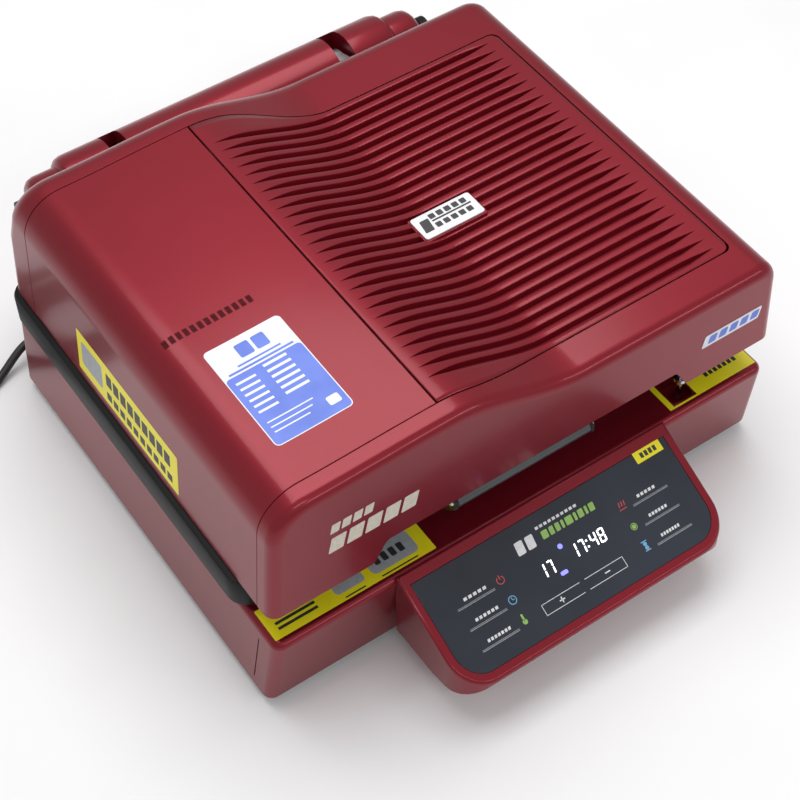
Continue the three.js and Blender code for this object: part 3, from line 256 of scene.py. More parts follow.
def rise(edge):
    return abs(edge.verts[0].co.z - edge.verts[1].co.z)


def rounded(bm, edges, offset, segments):
    """Rounds the edges off by an offset, in so many facets."""
    bmesh.ops.bevel(
        bm, geom=edges, offset=offset, segments=segments, profile=0.5, affect="EDGES", material=-1)


def box_mesh(x0, x1, y0, y1, z0, z1, corner=0.0, edge=0.0, segments=6):
    """A closed box with its upright edges rounded by corner and its level edges by edge."""
    bm = bmesh.new()
    bmesh.ops.create_cube(bm, size=1)
    bmesh.ops.scale(bm, vec=(x1 - x0, y1 - y0, z1 - z0), verts=bm.verts)
    bmesh.ops.translate(bm, vec=((x0 + x1) / 2, (y0 + y1) / 2, (z0 + z1) / 2), verts=bm.verts)
    if corner:
        rounded(bm, [e for e in bm.edges if rise(e) > (z1 - z0) / 2], corner, segments)
    if edge:
        rounded(bm, [e for e in bm.edges if rise(e) < (z1 - z0) / 1000], edge, 3)
    return bm


def joined(*parts):
    """All the parts in one bmesh. The parts themselves are used up."""
    whole = parts[0]
    for part in parts[1:]:
        mesh = bpy.data.meshes.new("part")
        part.to_mesh(mesh)
        part.free()
        whole.from_mesh(mesh)
        bpy.data.meshes.remove(mesh)
    return whole


def loose(name, bm):
    mesh = bpy.data.meshes.new(name)
    bmesh.ops.recalc_face_normals(bm, faces=bm.faces)
    bm.to_mesh(mesh)
    bm.free()
    obj = bpy.data.objects.new(name, mesh)
    bpy.context.collection.objects.link(obj)
    return obj


def carved(body, *tools, way="DIFFERENCE"):
    """The body with each tool cut out of it, or kept only inside them. All of them are used up."""
    solid = loose("solid", body)
    cutters = [loose("cutter", tool) for tool in tools]
    for cutter in cutters:
        cut = solid.modifiers.new("cut", "BOOLEAN")
        cut.operation, cut.solver, cut.object = way, "EXACT", cutter
    bpy.context.view_layer.update()
    mesh = bpy.data.meshes.new_from_object(solid.evaluated_get(bpy.context.evaluated_depsgraph_get()))
    result = bmesh.new()
    result.from_mesh(mesh)
    for obj in [solid, *cutters]:
        used = obj.data
        bpy.data.objects.remove(obj)
        bpy.data.meshes.remove(used)
    bpy.data.meshes.remove(mesh)
    return result


def piece(name, bm, material, body, slot, *nodes, edge=0.0, sharp=32):
    """Makes a finished piece that rides on a body and stands for CAD nodes. The slot argument is not used."""
    bmesh.ops.remove_doubles(bm, verts=bm.verts, dist=0.000002)
    bmesh.ops.recalc_face_normals(bm, faces=bm.faces)
    mesh = bpy.data.meshes.new(name)
    bm.to_mesh(mesh)
    bm.free()
    for face in mesh.polygons:
        face.use_smooth = True
    mesh.set_sharp_from_angle(angle=math.radians(sharp))
    mesh.materials.append(material)
    obj = bpy.data.objects.new(name, mesh)
    bpy.context.collection.objects.link(obj)
    if edge:
        bevel = obj.modifiers.new("edges", "BEVEL")
        bevel.width, bevel.segments, bevel.limit_method = edge, 2, "ANGLE"
        bevel.angle_limit = math.radians(50)
    normals = obj.modifiers.new("normals", "WEIGHTED_NORMAL")
    normals.keep_sharp = True
    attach(obj, body)
    if nodes:
        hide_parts(*nodes)
    return obj


def base_form(grow=0.0, drop=0.0):
    """The casing's outer form, grown or drawn in all round, and drawn out downwards by drop."""
    bm = bmesh.new()
    bmesh.ops.create_cube(bm, size=1)
    for vert in bm.verts:
        low = vert.co.z < 0
        lean = base_lean if low else 0
        half = base_half + grow + (base_flare if low else 0)
        vert.co.x = math.copysign(half, vert.co.x)
        vert.co.y = base_front - grow + lean if vert.co.y < 0 else base_rear + grow
        vert.co.z = base_bottom - grow - drop if low else base_top + grow
    rounded(bm, [e for e in bm.edges if rise(e) > 50 * MM], base_corner + grow, 6)
    top = [e for e in bm.edges if all(v.co.z > base_top + grow - MM for v in e.verts)]
    rounded(bm, top, base_top_round + grow, 6)
    if not drop:
        bottom = [e for e in bm.edges if all(v.co.z < base_bottom - grow + MM for v in e.verts)]
        rounded(bm, bottom, base_foot_round + grow, 4)
    return bm


bed_half, bed_front, bed_rear = 231 * MM, -140 * MM, 222 * MM
pocket_left, pocket_right, pocket_front, pocket_rear = 182 * MM, 207 * MM, -217 * MM, -192 * MM
pocket_wall, pocket_corner = 2 * MM, 4 * MM
switch_low, switch_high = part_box("switch_frame")
switch_centre = (switch_low + switch_high) / 2
switch_half_width, switch_half_height = 12 * MM, 15 * MM
seam_x, seam_y = -289 * MM, -196 * MM
seam_low, seam_high, seam_half, seam_lean = 28 * MM, 100 * MM, 0.7 * MM, math.radians(7)
above_deck, below_floor = base_top + 5 * MM, 20 * MM


def wall_seam():
    """The narrow slit in the left wall where the front of the casing meets its side."""
    bm = box_mesh(
        seam_x - 9 * MM, seam_x + 4 * MM, seam_y - seam_half, seam_y + seam_half, seam_low, seam_high)
    bmesh.ops.rotate(
        bm, verts=bm.verts, cent=(seam_x, seam_y, (seam_low + seam_high) / 2),
        matrix=Matrix.Rotation(seam_lean, 3, "X"))
    return bm


casing = carved(
    base_form(),
    base_form(-base_wall, drop=below_floor),
    box_mesh(-bed_half, bed_half, bed_front, bed_rear, base_top - 20 * MM, above_deck),
    box_mesh(switch_centre.x - switch_half_width, switch_centre.x + switch_half_width,
             base_rear - 20 * MM, base_rear + 5 * MM,
             switch_centre.z - switch_half_height, switch_centre.z + switch_half_height),
    box_mesh(pocket_left, pocket_right, pocket_front, pocket_rear, base_top - 8 * MM, above_deck,
             corner=pocket_corner),
    wall_seam())
cup = carved(
    box_mesh(pocket_left - pocket_wall, pocket_right + pocket_wall, pocket_front - pocket_wall,
             pocket_rear + pocket_wall, base_top - 13 * MM, base_top - base_wall / 2,
             corner=pocket_corner + pocket_wall),
    box_mesh(pocket_left, pocket_right, pocket_front, pocket_rear, base_top - 11 * MM, above_deck,
             corner=pocket_corner))
piece("base_casing", joined(casing, cup), wine, "base", "wine_shell", "base_shell")

# ---------------------------------------------------------------- bed
# The flat bed is a satin aluminium plate with milled suction grooves, lying on the deck inside a
# round-cornered rubber seal that the membrane frame presses on.
satin_aluminium = surface(
    "satin_aluminium", (0.50, 0.51, 0.52), (0.62, 0.63, 0.64), 0.05, 0.0008, (0.30, 0.45), 0.00003,
    stretch=(1, 0.04, 1), Metallic=0.9)
finished("platen", satin_aluminium)
finished("bed_seal", rubber)

# ---------------------------------------------------------------- console
# The console is a wedge-shaped moulding screwed to the casing's front. A bright rim runs round a
# shallow tray, in which a back-printed touch glass is glued over the display board.
console_half, console_corner, console_rim = 158 * MM, 35 * MM, 8.5 * MM
console_front = Vector((0, -344 * MM, 67 * MM))
console_rear = Vector((0, -231 * MM, 120 * MM))
console_tilt = math.atan2(console_rear.z - console_front.z, console_rear.y - console_front.y)
console_plane = Matrix.Translation(console_front) @ Matrix.Rotation(console_tilt, 4, "X")
console_out = Vector((0, -math.sin(console_tilt), math.cos(console_tilt)))
glass_top, glass_foot = -0.2 * MM, -2.6 * MM
glass_rear = console_rear.y - console_rim
rim_round, glass_gap = 3 * MM, 0.3 * MM
belly_facets = 9


def trimmed(bm, point, normal):
    """Cuts away what lies on the normal's side of a plane, and closes the cut."""
    everything = bm.verts[:] + bm.edges[:] + bm.faces[:]
    bmesh.ops.bisect_plane(bm, geom=everything, dist=1e-7, plane_co=point, plane_no=normal, clear_outer=True)
    bmesh.ops.edgeloop_fill(bm, edges=[e for e in bm.edges if e.is_boundary])
    return bm


def tray(inset, rear, high, low):
    """The console's plan drawn in by inset, between two planes at heights off its sloping face."""
    half, front, corner = console_half - inset, console_front.y + inset, console_corner - inset
    bm = box_mesh(-half, half, front, rear, -0.05, 0.25)
    rounded(bm, [e for e in bm.edges if rise(e) > 0.1 and e.verts[0].co.y < front + MM], corner, 14)
    trimmed(bm, console_front + console_out * high, console_out)
    trimmed(bm, console_front + console_out * low, -console_out)
    return bm


def console_body():
    bm = trimmed(tray(0, console_rear.y + 3 * MM, 0, -0.12), console_rear, Vector((0, 0, 1)))
    rim = [e for e in bm.edges
           if all(abs((v.co - console_front).dot(console_out)) < 0.01 * MM for v in e.verts)
           and not all(v.co.y > console_rear.y - MM for v in e.verts)]
    rounded(bm, rim, rim_round, 4)
    front, lip = console_front.y, console_front.z
    curve = [
        (front, lip - 4 * MM), (front + 3 * MM, 52 * MM), (front + 18 * MM, 39 * MM),
        (front + 60 * MM, 33 * MM)]

    def along(t):
        weights = ((1 - t) ** 3, 3 * t * (1 - t) ** 2, 3 * t * t * (1 - t), t ** 3)
        y = sum(w * knot[0] for w, knot in zip(weights, curve))
        z = sum(w * knot[1] for w, knot in zip(weights, curve))
        return Vector((0, y, z))

    for step in range(belly_facets):
        start, end = along(step / belly_facets), along((step + 1) / belly_facets)
        trimmed(bm, start, Vector((0, end.z - start.z, start.y - end.y)))
    trimmed(bm, along(1), Vector((0, -3, -140)))
    return bm


hollow = tray(17 * MM, glass_rear - 8 * MM, 5 * MM, -14 * MM)
recess = tray(console_rim, glass_rear, 20 * MM, -2.9 * MM)
piece("console_casing", carved(console_body(), base_form(0.3 * MM, drop=below_floor), recess, hollow), wine,
      "base", "wine_shell", "console_shell", edge=0.7 * MM)
touch_glass_bm = tray(console_rim + glass_gap, glass_rear - glass_gap, glass_top, glass_foot)
slate_glass = surface(
    "slate_touch_glass", (0.016, 0.020, 0.030), (0.026, 0.032, 0.046), 0.12, 0.02, (0.06, 0.12), 0,
    Coat_Weight=0.6, Coat_Roughness=0.03, Specular_IOR_Level=0.25)
piece("touch_glass", touch_glass_bm, slate_glass, "base", "dark_glass", "touch_panel", edge=0.4 * MM)
board_green = surface(
    "board_green", (0.012, 0.075, 0.035), (0.020, 0.11, 0.05), 0.02, 0.001, (0.4, 0.6), 0.00005)
finished("display_board", board_green)

# ---------------------------------------------------------------- print on the touch glass
# White, red, green and blue inks are screen-printed on the glass: plain bars stand for the words. A
# white seven-segment display and two blue indicator lamps shine through it.
print_height = 0.12


def bar(u0, u1, v0, v1, low=0.0, high=print_height, corner=0.0, slant=0.0):
    """A thin bar in millimetres on a plane, with its upper edge pushed aside by slant."""
    bm = box_mesh(u0 * MM, u1 * MM, v0 * MM, v1 * MM, low * MM, high * MM, corner=corner * MM, segments=5)
    for vert in bm.verts:
        vert.co.x += slant * (vert.co.y - v0 * MM)
    return bm


def ring(u, v, outer, inner, arc=360, start=0):
    """A thin ring, or part of one, turned about a point on a plane."""
    bm = bmesh.new()
    centre = Vector((u * MM, v * MM, 0))
    along = Vector((math.cos(math.radians(start)), math.sin(math.radians(start)), 0))
    corners = [(inner, 0), (outer, 0), (outer, print_height), (inner, print_height)]
    verts = [bm.verts.new(centre + along * r * MM + Vector((0, 0, h * MM))) for r, h in corners]
    section = bm.faces.new(verts)
    geometry = [section, *section.edges, *verts]
    if arc == 360:
        bmesh.ops.delete(bm, geom=[section], context="FACES_ONLY")
        geometry = [*bm.edges, *bm.verts]
    bmesh.ops.spin(bm, geom=geometry, cent=centre, axis=(0, 0, 1), angle=math.radians(arc), steps=28,
                   use_merge=arc == 360)
    return bm


def disc(u, v, radius):
    bm = bmesh.new()
    bmesh.ops.create_cone(
        bm, cap_ends=True, segments=20, radius1=radius * MM, radius2=radius * MM, depth=print_height * MM)
    bmesh.ops.translate(bm, verts=bm.verts, vec=(u * MM, v * MM, print_height * MM / 2))
    return bm


def printed(name, parts, plane, material, body, slot):
    """Thin printed or moulded shapes laid on a plane."""
    bm = joined(*parts)
    bm.transform(plane)
    return piece(name, bm, material, body, slot)


glass_plane = console_plane @ Matrix.Translation((0, 0, glass_top))


def ink(name, color, **sockets):
    return surface(name, tuple(c * 0.86 for c in color), color, 0.004, 0.0009, (0.4, 0.55), 0, **sockets)


white_ink = ink("white_ink", (0.78, 0.78, 0.80))
red_ink = ink("red_ink", (0.55, 0.06, 0.07))
grey_ink = ink("grey_ink", (0.40, 0.42, 0.45))
green_ink = ink("green_ink", (0.30, 0.52, 0.12))
blue_ink = ink("blue_ink", (0.16, 0.42, 0.66))
rows = (76, 54.5, 32.5)
white_marks, grey_marks = [], []
for row, v in enumerate(rows):
    for side, edge, word in ((-1, 81, (88, 115)), (1, 83, (91, 114))):
        low, high = sorted((side * edge, side * (edge + 42)))
        grey_marks += [bar(low, high, v - 4.7, v - 4.1), bar(low, high, v - 3.3, v - 2.9)]
        letters = 5 + row
        pitch = (word[1] - word[0]) / letters
        for letter in range(letters):
            start = side * (word[0] + letter * pitch)
            start, end = sorted((start, start + side * pitch * 0.68))
            white_marks.append(bar(start, end, v + 0.6, v + 3.6, slant=0.15))
for u, width in ((-44, 9), (-32, 9)):
    white_marks.append(bar(u, u + width, 86, 99, slant=0.12, corner=1.4))
for u in range(-16, 30, 5):
    white_marks.append(bar(u, u + 3.4, 99.5, 102.2, slant=0.12))
touch_box = (-51, 45, 25.8, 37.2)
u0, u1, v0, v1 = touch_box
middle = (u0 + u1) / 2
for start, end in ((u0, middle - 3), (middle + 3, u1)):
    white_marks += [bar(start, end, v0, v0 + 0.6), bar(start, end, v1 - 0.6, v1)]
white_marks += [bar(u0, u0 + 0.6, v0, v1), bar(u1 - 0.6, u1, v0, v1)]
white_marks += [bar(-32.5, -26.5, 31, 32.2), bar(-30.1, -28.9, 28.6, 34.6), bar(21, 27, 31, 32.2)]
printed("white_print", white_marks, glass_plane, white_ink, "base", "badge_white")
printed("grey_print", grey_marks, glass_plane, grey_ink, "base", "badge_white")
green_letters = ((-14, 7), (-5, 5), (2, 5), (9, 3), (14, 8), (24, 3), (29, 6), (37, 3), (42, 6))
green_marks = [bar(u, u + width, 88, 96, slant=0.12, corner=1) for u, width in green_letters]
green_marks += [disc(72, 55, 2.2), ring(72, 55, 3.6, 2.9)]
green_marks += [bar(-73.6, -71.4, 33, 40, corner=1), disc(-72.5, 32, 2.6)]
printed("green_print", green_marks, glass_plane, green_ink, "base", "badge_white")
printed("red_print", [
    ring(-72, 76.5, 4.2, 3.3, arc=290, start=125), bar(-72.5, -71.5, 77, 81.5),
    *[bar(69 + 3 * k, 70.2 + 3 * k, 77, 82, slant=0.25, corner=0.4) for k in range(3)],
    bar(68, 76.5, 74, 75)],
    glass_plane, red_ink, "base", "badge_white")
printed("blue_print", [
    ring(-72, 55, 4.4, 3.5), bar(-72.4, -71.6, 55, 58), bar(-72, -69.6, 54.6, 55.4),
    bar(68.8, 75.2, 37.8, 38.8), bar(68.8, 75.2, 28.6, 29.6), disc(72, 35.6, 2.1), disc(72, 31.6, 2.1)],
    glass_plane, blue_ink, "base", "badge_white")

strokes = {"1": "bc", "7": "abc", "4": "bcfg", "8": "abcdefg"}


def digit(sign, u, v, wide=7.2, tall=14, thick=1.7):
    """One seven-segment figure, lettered as on a data sheet from the top bar a round to the middle bar g."""
    half = tall / 2
    segments = {
        "a": (thick, wide - thick, tall - thick, tall), "d": (thick, wide - thick, 0, thick),
        "g": (thick, wide - thick, half - thick / 2, half + thick / 2),
        "b": (wide - thick, wide, half + 0.5, tall - 0.6), "c": (wide - thick, wide, 0.6, half - 0.5),
        "f": (0, thick, half + 0.5, tall - 0.6), "e": (0, thick, 0.6, half - 0.5),
    }
    parts = []
    for stroke in strokes[sign]:
        s0, s1, t0, t1 = segments[stroke]
        parts.append(bar(u + s0 + 0.12 * t0, u + s1 + 0.12 * t0, v + t0, v + t1, slant=0.12, corner=0.5))
    return parts


display = digit("1", -36, 55.5) + digit("7", -27, 55.5)
for sign, u in (("1", 2), ("7", 11), ("4", 25), ("8", 34.5)):
    display += digit(sign, u, 57)
display += [disc(21.6, 61, 1.1), disc(22.2, 67, 1.1)]
lit_white = ink("lit_white", (0.90, 0.92, 1.0), Emission_Color=(0.9, 0.93, 1.0, 1), Emission_Strength=1.6)
lit_blue = ink("lit_blue", (0.16, 0.16, 0.90), Emission_Color=(0.20, 0.20, 1.0, 1), Emission_Strength=1.5)
printed("display_figures", display, glass_plane, lit_white, "base", "badge_white")
printed("indicator_lamps", [disc(-3.5, 75, 2.6), bar(-17.5, -9.5, 50, 54, corner=1.6)], glass_plane, lit_blue,
        "base", "badge_white")
yellow_vinyl = surface(
    "yellow_vinyl", (0.88, 0.76, 0.010), (0.95, 0.84, 0.018), 0.03, 0.002, (0.32, 0.45), 0.00002)
black_ink = ink("black_ink", (0.035, 0.035, 0.035))
voltage_tag = Matrix.Rotation(math.radians(0.5), 4, "Z")
printed("console_tag", [bar(111.5, 143.5, 102.8, 114.8, corner=0.6)], glass_plane @ voltage_tag, yellow_vinyl,
        "base", "badge_white")
printed("console_tag_marks", [bar(118 + 5.2 * k, 121.6 + 5.2 * k, 106, 111.5, 0.12, 0.18) for k in range(4)],
        glass_plane @ voltage_tag, black_ink, "base", "badge_white")

# ---------------------------------------------------------------- stickers on the deck
# Two vinyl sheets are stuck to the casing's front ledge, either side of the handle. They carry plain
# grey panels and bars only.
deck = Matrix.Translation((0, 0, base_top))
ledge_left = [bar(-283, -107, -221.5, -184, corner=1.0)]
ledge_right = [bar(174, 283, -221.5, -219.5), bar(209, 283, -219.5, -184), bar(174, 180, -219.5, -184)]
printed("ledge_stickers", ledge_left + ledge_right, deck, yellow_vinyl, "base", "badge_white")
panels = [bar(-212, -180, -213, -187, 0.12, 0.2, corner=4), bar(-172, -120, -214, -187, 0.12, 0.2, corner=6)]
printed("ledge_sticker_panels", panels, deck, grey_ink, "base", "badge_white")
ledge_bars = [bar(-274, -232, -213.5 + 6 * k, -210.5 + 6 * k, 0.12, 0.2) for k in range(2)]
ledge_bars += [bar(-164 + 9 * k, -158 + 9 * k, -206, -196, 0.2, 0.27, corner=1.5) for k in range(4)]
ledge_bars += [bar(-166, -126, -219.5, -218, 0.12, 0.2), bar(-206, -184, -219.5, -218, 0.12, 0.2)]
ledge_bars += [bar(230 + 6 * k, 234 + 6 * k, -208, -203, 0.12, 0.2) for k in range(7)]
printed("ledge_sticker_bars", ledge_bars, deck, black_ink, "base", "badge_white")

# ---------------------------------------------------------------- rear housing and hinge
# A wine housing behind the casing covers the two hinges. The lid's steel arms swing in its slots on
# ground pins, with torsion springs beside them, and its back carries the fan grille.
ground_pin = surface(
    "ground_pin", (0.60, 0.61, 0.63), (0.70, 0.71, 0.73), 0.02, 0.0006, (0.10, 0.20), 0, Metallic=1.0)
finished("rear_housing", wine)
for side in ("left", "right"):
    finished(f"hinge_bracket_{side}", sheet_steel)
    finished(f"hinge_spring_{side}", sheet_steel)
    finished(f"lid_hinge_arm_{side}", sheet_steel)
    finished(f"hinge_pin_{side}", ground_pin)

# ---------------------------------------------------------------- works in the base
# Bought-in parts stand on the floor plate: a twin-head diaphragm pump with its motor, a solenoid valve
# and hose to the bed, a transformer, a power board, a solid-state relay and the lid's microswitch.
black_enamel = surface(
    "black_enamel", (0.010, 0.010, 0.011), (0.019, 0.019, 0.021), 0.04, 0.0011, (0.26, 0.40), 0.00005,
    Coat_Weight=0.3, Coat_Roughness=0.2)
for node, material in {
    "vacuum_pump": satin_aluminium, "pump_motor": black_enamel, "vacuum_valve": sheet_steel,
    "vacuum_hose": rubber, "transformer": black_enamel, "power_board": board_green,
    "solid_state_relay": black_plastic, "lid_microswitch": black_plastic,
}.items():
    finished(node, material)

# ---------------------------------------------------------------- cooling fan and mains switch
# A boxed axial fan cools the works through the grille. A rocker switch snaps into the casing's rear
# wall, with a moulded bezel.
finished("rear_fan_frame", black_plastic)
finished("rear_fan_rotor", black_plastic)
finished("switch_frame", black_plastic)
red_plastic = surface(
    "moulded_red", (0.40, 0.012, 0.012), (0.48, 0.018, 0.016), 0.01, 0.0008, (0.25, 0.35), 0.00003)
finished("main_switch_rocker", red_plastic)

# ---------------------------------------------------------------- membrane frame
# A folded and welded steel frame, enamelled black, carries the silicone sheet, which a screwed steel
# ring clamps round its inner edge.
satin_black = surface(
    "satin_black", (0.003, 0.003, 0.0035), (0.005, 0.005, 0.0055), 0.05, 0.0009, (0.42, 0.55), 0.00004,
    Specular_IOR_Level=0.2)
finished("membrane_frame", satin_black)
finished("membrane_clamp", sheet_steel)
silicone = surface(
    "orange_silicone", (0.42, 0.085, 0.035), (0.50, 0.11, 0.05), 0.08, 0.0015, (0.45, 0.60), 0.00004,
    Transmission_Weight=0.15)
finished("silicone_membrane", silicone)

# ---------------------------------------------------------------- handle
# The handle is a grey extruded bar with a flattened underside, held between two pressed end plates by
# a cross-slotted screw at each end.
handle_low, handle_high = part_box("membrane_handle")
handle_y, handle_z = (handle_low.y + handle_high.y) / 2, (handle_low.z + handle_high.z) / 2
handle_radius = (handle_high.z - handle_low.z) / 2
flat_height = -0.55 * handle_radius
groove_depth, plate_thickness, screw_radius, screw_top_radius = 0.7 * MM, 4.3 * MM, 3.4 * MM, 2.4 * MM


def handle_bar():
    bm = bmesh.new()
    bmesh.ops.create_cone(
        bm, cap_ends=True, segments=40, radius1=handle_radius, radius2=handle_radius,
        depth=handle_high.x - handle_low.x)
    caps = [f for f in bm.faces if len(f.verts) > 4]
    rounded(bm, list({e for f in caps for e in f.edges}), 0.8 * MM, 3)
    bmesh.ops.rotate(bm, verts=bm.verts, matrix=Matrix.Rotation(math.radians(90), 3, "Y"))
    trimmed(bm, (0, 0, flat_height), (0, 0, -1))
    bmesh.ops.translate(bm, verts=bm.verts, vec=((handle_low.x + handle_high.x) / 2, handle_y, handle_z))
    face = handle_y - handle_radius
    groove = box_mesh(handle_low.x + 2 * MM, handle_high.x - 2 * MM, face - MM, face + groove_depth,
                      handle_z - 1.2 * MM, handle_z + 0.2 * MM)
    return carved(bm, groove)


grey_enamel = surface(
    "grey_enamel", (0.060, 0.063, 0.066), (0.080, 0.083, 0.086), 0.03, 0.0009, (0.35, 0.48), 0.00004)
piece("handle_bar", handle_bar(), grey_enamel, "membrane_frame", "aluminium", "membrane_handle",
      edge=0.3 * MM)
for side, end, way in (("left", handle_low.x, -1), ("right", handle_high.x, 1)):
    finished(f"handle_bracket_{side}", black_enamel)
    plate_face = end + way * plate_thickness
    head = bmesh.new()
    bmesh.ops.create_cone(
        head, cap_ends=True, segments=24, radius1=screw_radius, radius2=screw_top_radius, depth=2 * MM)
    bmesh.ops.rotate(head, verts=head.verts, matrix=Matrix.Rotation(math.radians(90 * way), 3, "Y"))
    bmesh.ops.translate(head, verts=head.verts, vec=(plate_face + way * MM, handle_y, handle_z))
    slot = box_mesh(plate_face - 5 * MM, plate_face + 5 * MM, handle_y - 0.4 * MM, handle_y + 0.4 * MM,
                    handle_z - 2 * MM, handle_z + 2 * MM)
    bmesh.ops.translate(slot, verts=slot.verts, vec=(way * 6 * MM, 0, 0))
    piece(f"handle_screw_{side}", carved(head, slot), ground_pin, "membrane_frame", "chrome")

# ---------------------------------------------------------------- lid mouldings
# The lid is three sprayed mouldings, parted by thin panel lines: a border with the walls, a smooth cover
# over the left shoulder, and a ribbed cover that dips to the right. Its rear slants above the arms.
lid_half, lid_draft = 290 * MM, 8 * MM
lid_flare, lid_skirt = lid_draft * 1.6, 60 * MM
lid_edge, lid_front, lid_rear = 164 * MM, -229 * MM, 262 * MM
high_top, crown_top, low_top = 307 * MM, 311 * MM, 273 * MM
crown_x, dip_x = -95 * MM, 50 * MM
left_shoulder, right_shoulder = 44 * MM, 24 * MM
wall_x = lid_half - lid_draft
front_round, rear_round = 12 * MM, 20 * MM
lid_wall = 4 * MM
slant_start, slant_reach, slant_behind = 238 * MM, 22 * MM, 150 * MM
split_x, panel_gap = -97 * MM, 1.6 * MM
left_front, left_rear = -207 * MM, 212 * MM
right_front, right_rear, right_edge = -190 * MM, 188 * MM, 255 * MM
cover_corner = 9 * MM
arm_slot_inner, arm_slot_outer, arm_slot_top = 126 * MM, 142 * MM, 242 * MM
far, region_foot, region_head = 0.4, 0.1, 0.4


def top_height(x):
    """The height of the lid's top face over a place across it."""
    left_start = -wall_x + left_shoulder
    if x < left_start:
        return high_top - left_shoulder + math.sqrt(max(left_shoulder ** 2 - (left_start - x) ** 2, 0))
    if x < crown_x:
        return high_top + (crown_top - high_top) * eased((x - left_start) / (crown_x - left_start))
    if x < dip_x:
        return crown_top + (low_top - crown_top) * eased((x - crown_x) / (dip_x - crown_x))
    return low_top


def prism(outline, travel):
    """A closed prism, made by drawing a flat outline along its travel."""
    bm = bmesh.new()
    face = bm.faces.new([bm.verts.new(corner) for corner in outline])
    drawn = bmesh.ops.extrude_face_region(bm, geom=[face])["geom"]
    bmesh.ops.translate(bm, verts=[v for v in drawn if isinstance(v, bmesh.types.BMVert)], vec=travel)
    return bm


def lid_form(depth):
    """The lid's whole outer form as a closed solid, or the same form a depth under its surface."""
    outline = [
        (-wall_x - lid_flare + depth, lid_edge - lid_skirt), (-wall_x + depth, high_top - left_shoulder)]
    for step in range(1, 16):
        angle = math.radians(180 - 6 * step)
        radius = left_shoulder - depth
        outline.append((-wall_x + left_shoulder + radius * math.cos(angle),
                        high_top - left_shoulder + radius * math.sin(angle)))
    for step in range(1, 13):
        x = -wall_x + left_shoulder + (crown_x + wall_x - left_shoulder) * step / 12
        outline.append((x, top_height(x) - depth))
    for step in range(1, 33):
        x = crown_x + (dip_x - crown_x) * step / 32
        slope = (crown_top - low_top) / (dip_x - crown_x) * 6 * (step / 32) * (1 - step / 32)
        lean = math.atan(slope)
        outline.append((x - depth * math.sin(lean), top_height(x) - depth * math.cos(lean)))
    for step in range(0, 13):
        angle = math.radians(90 - 7.5 * step)
        radius = right_shoulder - depth
        outline.append((wall_x - right_shoulder + radius * math.cos(angle),
                        low_top - right_shoulder + radius * math.sin(angle)))
    outline.append((wall_x + lid_flare * 0.86 - depth, lid_edge - lid_skirt))
    front, rear = lid_front + depth, lid_rear - depth
    bm = prism([(x, front, z) for x, z in outline], (0, rear - front, 0))
    for y, offset in ((front, front_round - depth), (rear, rear_round - depth)):
        rounded(bm, [e for e in bm.edges if all(abs(v.co.y - y) < 0.01 * MM for v in e.verts)], offset, 8)
    everything = bm.verts[:] + bm.edges[:] + bm.faces[:]
    bmesh.ops.bisect_plane(bm, geom=everything, dist=1e-7, plane_co=(0, 0, slant_start), plane_no=(0, 0, 1))
    for vert in bm.verts:
        if vert.co.y > slant_behind and vert.co.z > slant_start:
            vert.co.y -= slant_reach * (vert.co.z - slant_start) / (crown_top - slant_start)
    return bm


def skin(outside, inside, low=lid_edge):
    """The lid's form between two depths, from its lower edge up."""
    below = box_mesh(-far, far, -far, far, -0.1, low)
    return carved(lid_form(outside), lid_form(inside), below)


def bend(x, left, right):
    """A panel line that eases from its left place to its right one between the crown and the dip."""
    return left + (right - left) * eased((x - crown_x - 30 * MM) / (dip_x - crown_x - 30 * MM))


def cover_plan(left, right, front, rear, grow, corner):
    """An upright prism over a cover's plan, grown or drawn in all round."""
    left, right, corner = left - grow, right + grow, corner + grow
    front_line, rear_line = [], []
    on_slope = [left + (dip_x - left) * step / 24 for step in range(24)]
    on_flat = [dip_x + (right - corner - dip_x) * step / 7 for step in range(1, 8)]
    for x in on_slope + on_flat:
        front_line.append((x, bend(x, *front) - grow))
        rear_line.append((x, bend(x, *rear) + grow))
    for step in range(1, 9):
        angle = math.radians(11.25 * step)
        x = right - corner + corner * math.sin(angle)
        front_line.append((x, bend(right, *front) - grow + corner * (1 - math.cos(angle))))
        rear_line.append((x, bend(right, *rear) + grow - corner * (1 - math.cos(angle))))
    outline = front_line + rear_line[::-1]
    return prism([(x, y, region_foot) for x, y in outline], (0, 0, region_head - region_foot))


fronts, rears = (left_front, right_front), (left_rear, right_rear)


def covers_region(grow):
    left = box_mesh(
        -far, split_x + 20 * MM, left_front - grow, left_rear + grow, region_foot, region_head)
    return left, cover_plan(split_x + panel_gap, right_edge, fronts, rears, grow, cover_corner)


scoop_half, scoop_ease, scoop_height = 163 * MM, 20 * MM, 25 * MM


def scoop():
    """The raised hand opening along the lid's front edge, with S-shaped ends."""
    right_end = [(scoop_half + scoop_ease, lid_edge - 20 * MM)]
    for step in range(13):
        t = step / 12
        right_end.append((scoop_half + scoop_ease * (1 - t), lid_edge + scoop_height * eased(t)))
    outline = right_end + [(-x, z) for x, z in right_end[::-1]]
    return prism([(x, lid_front - 10 * MM, z) for x, z in outline], (0, 40 * MM, 0))


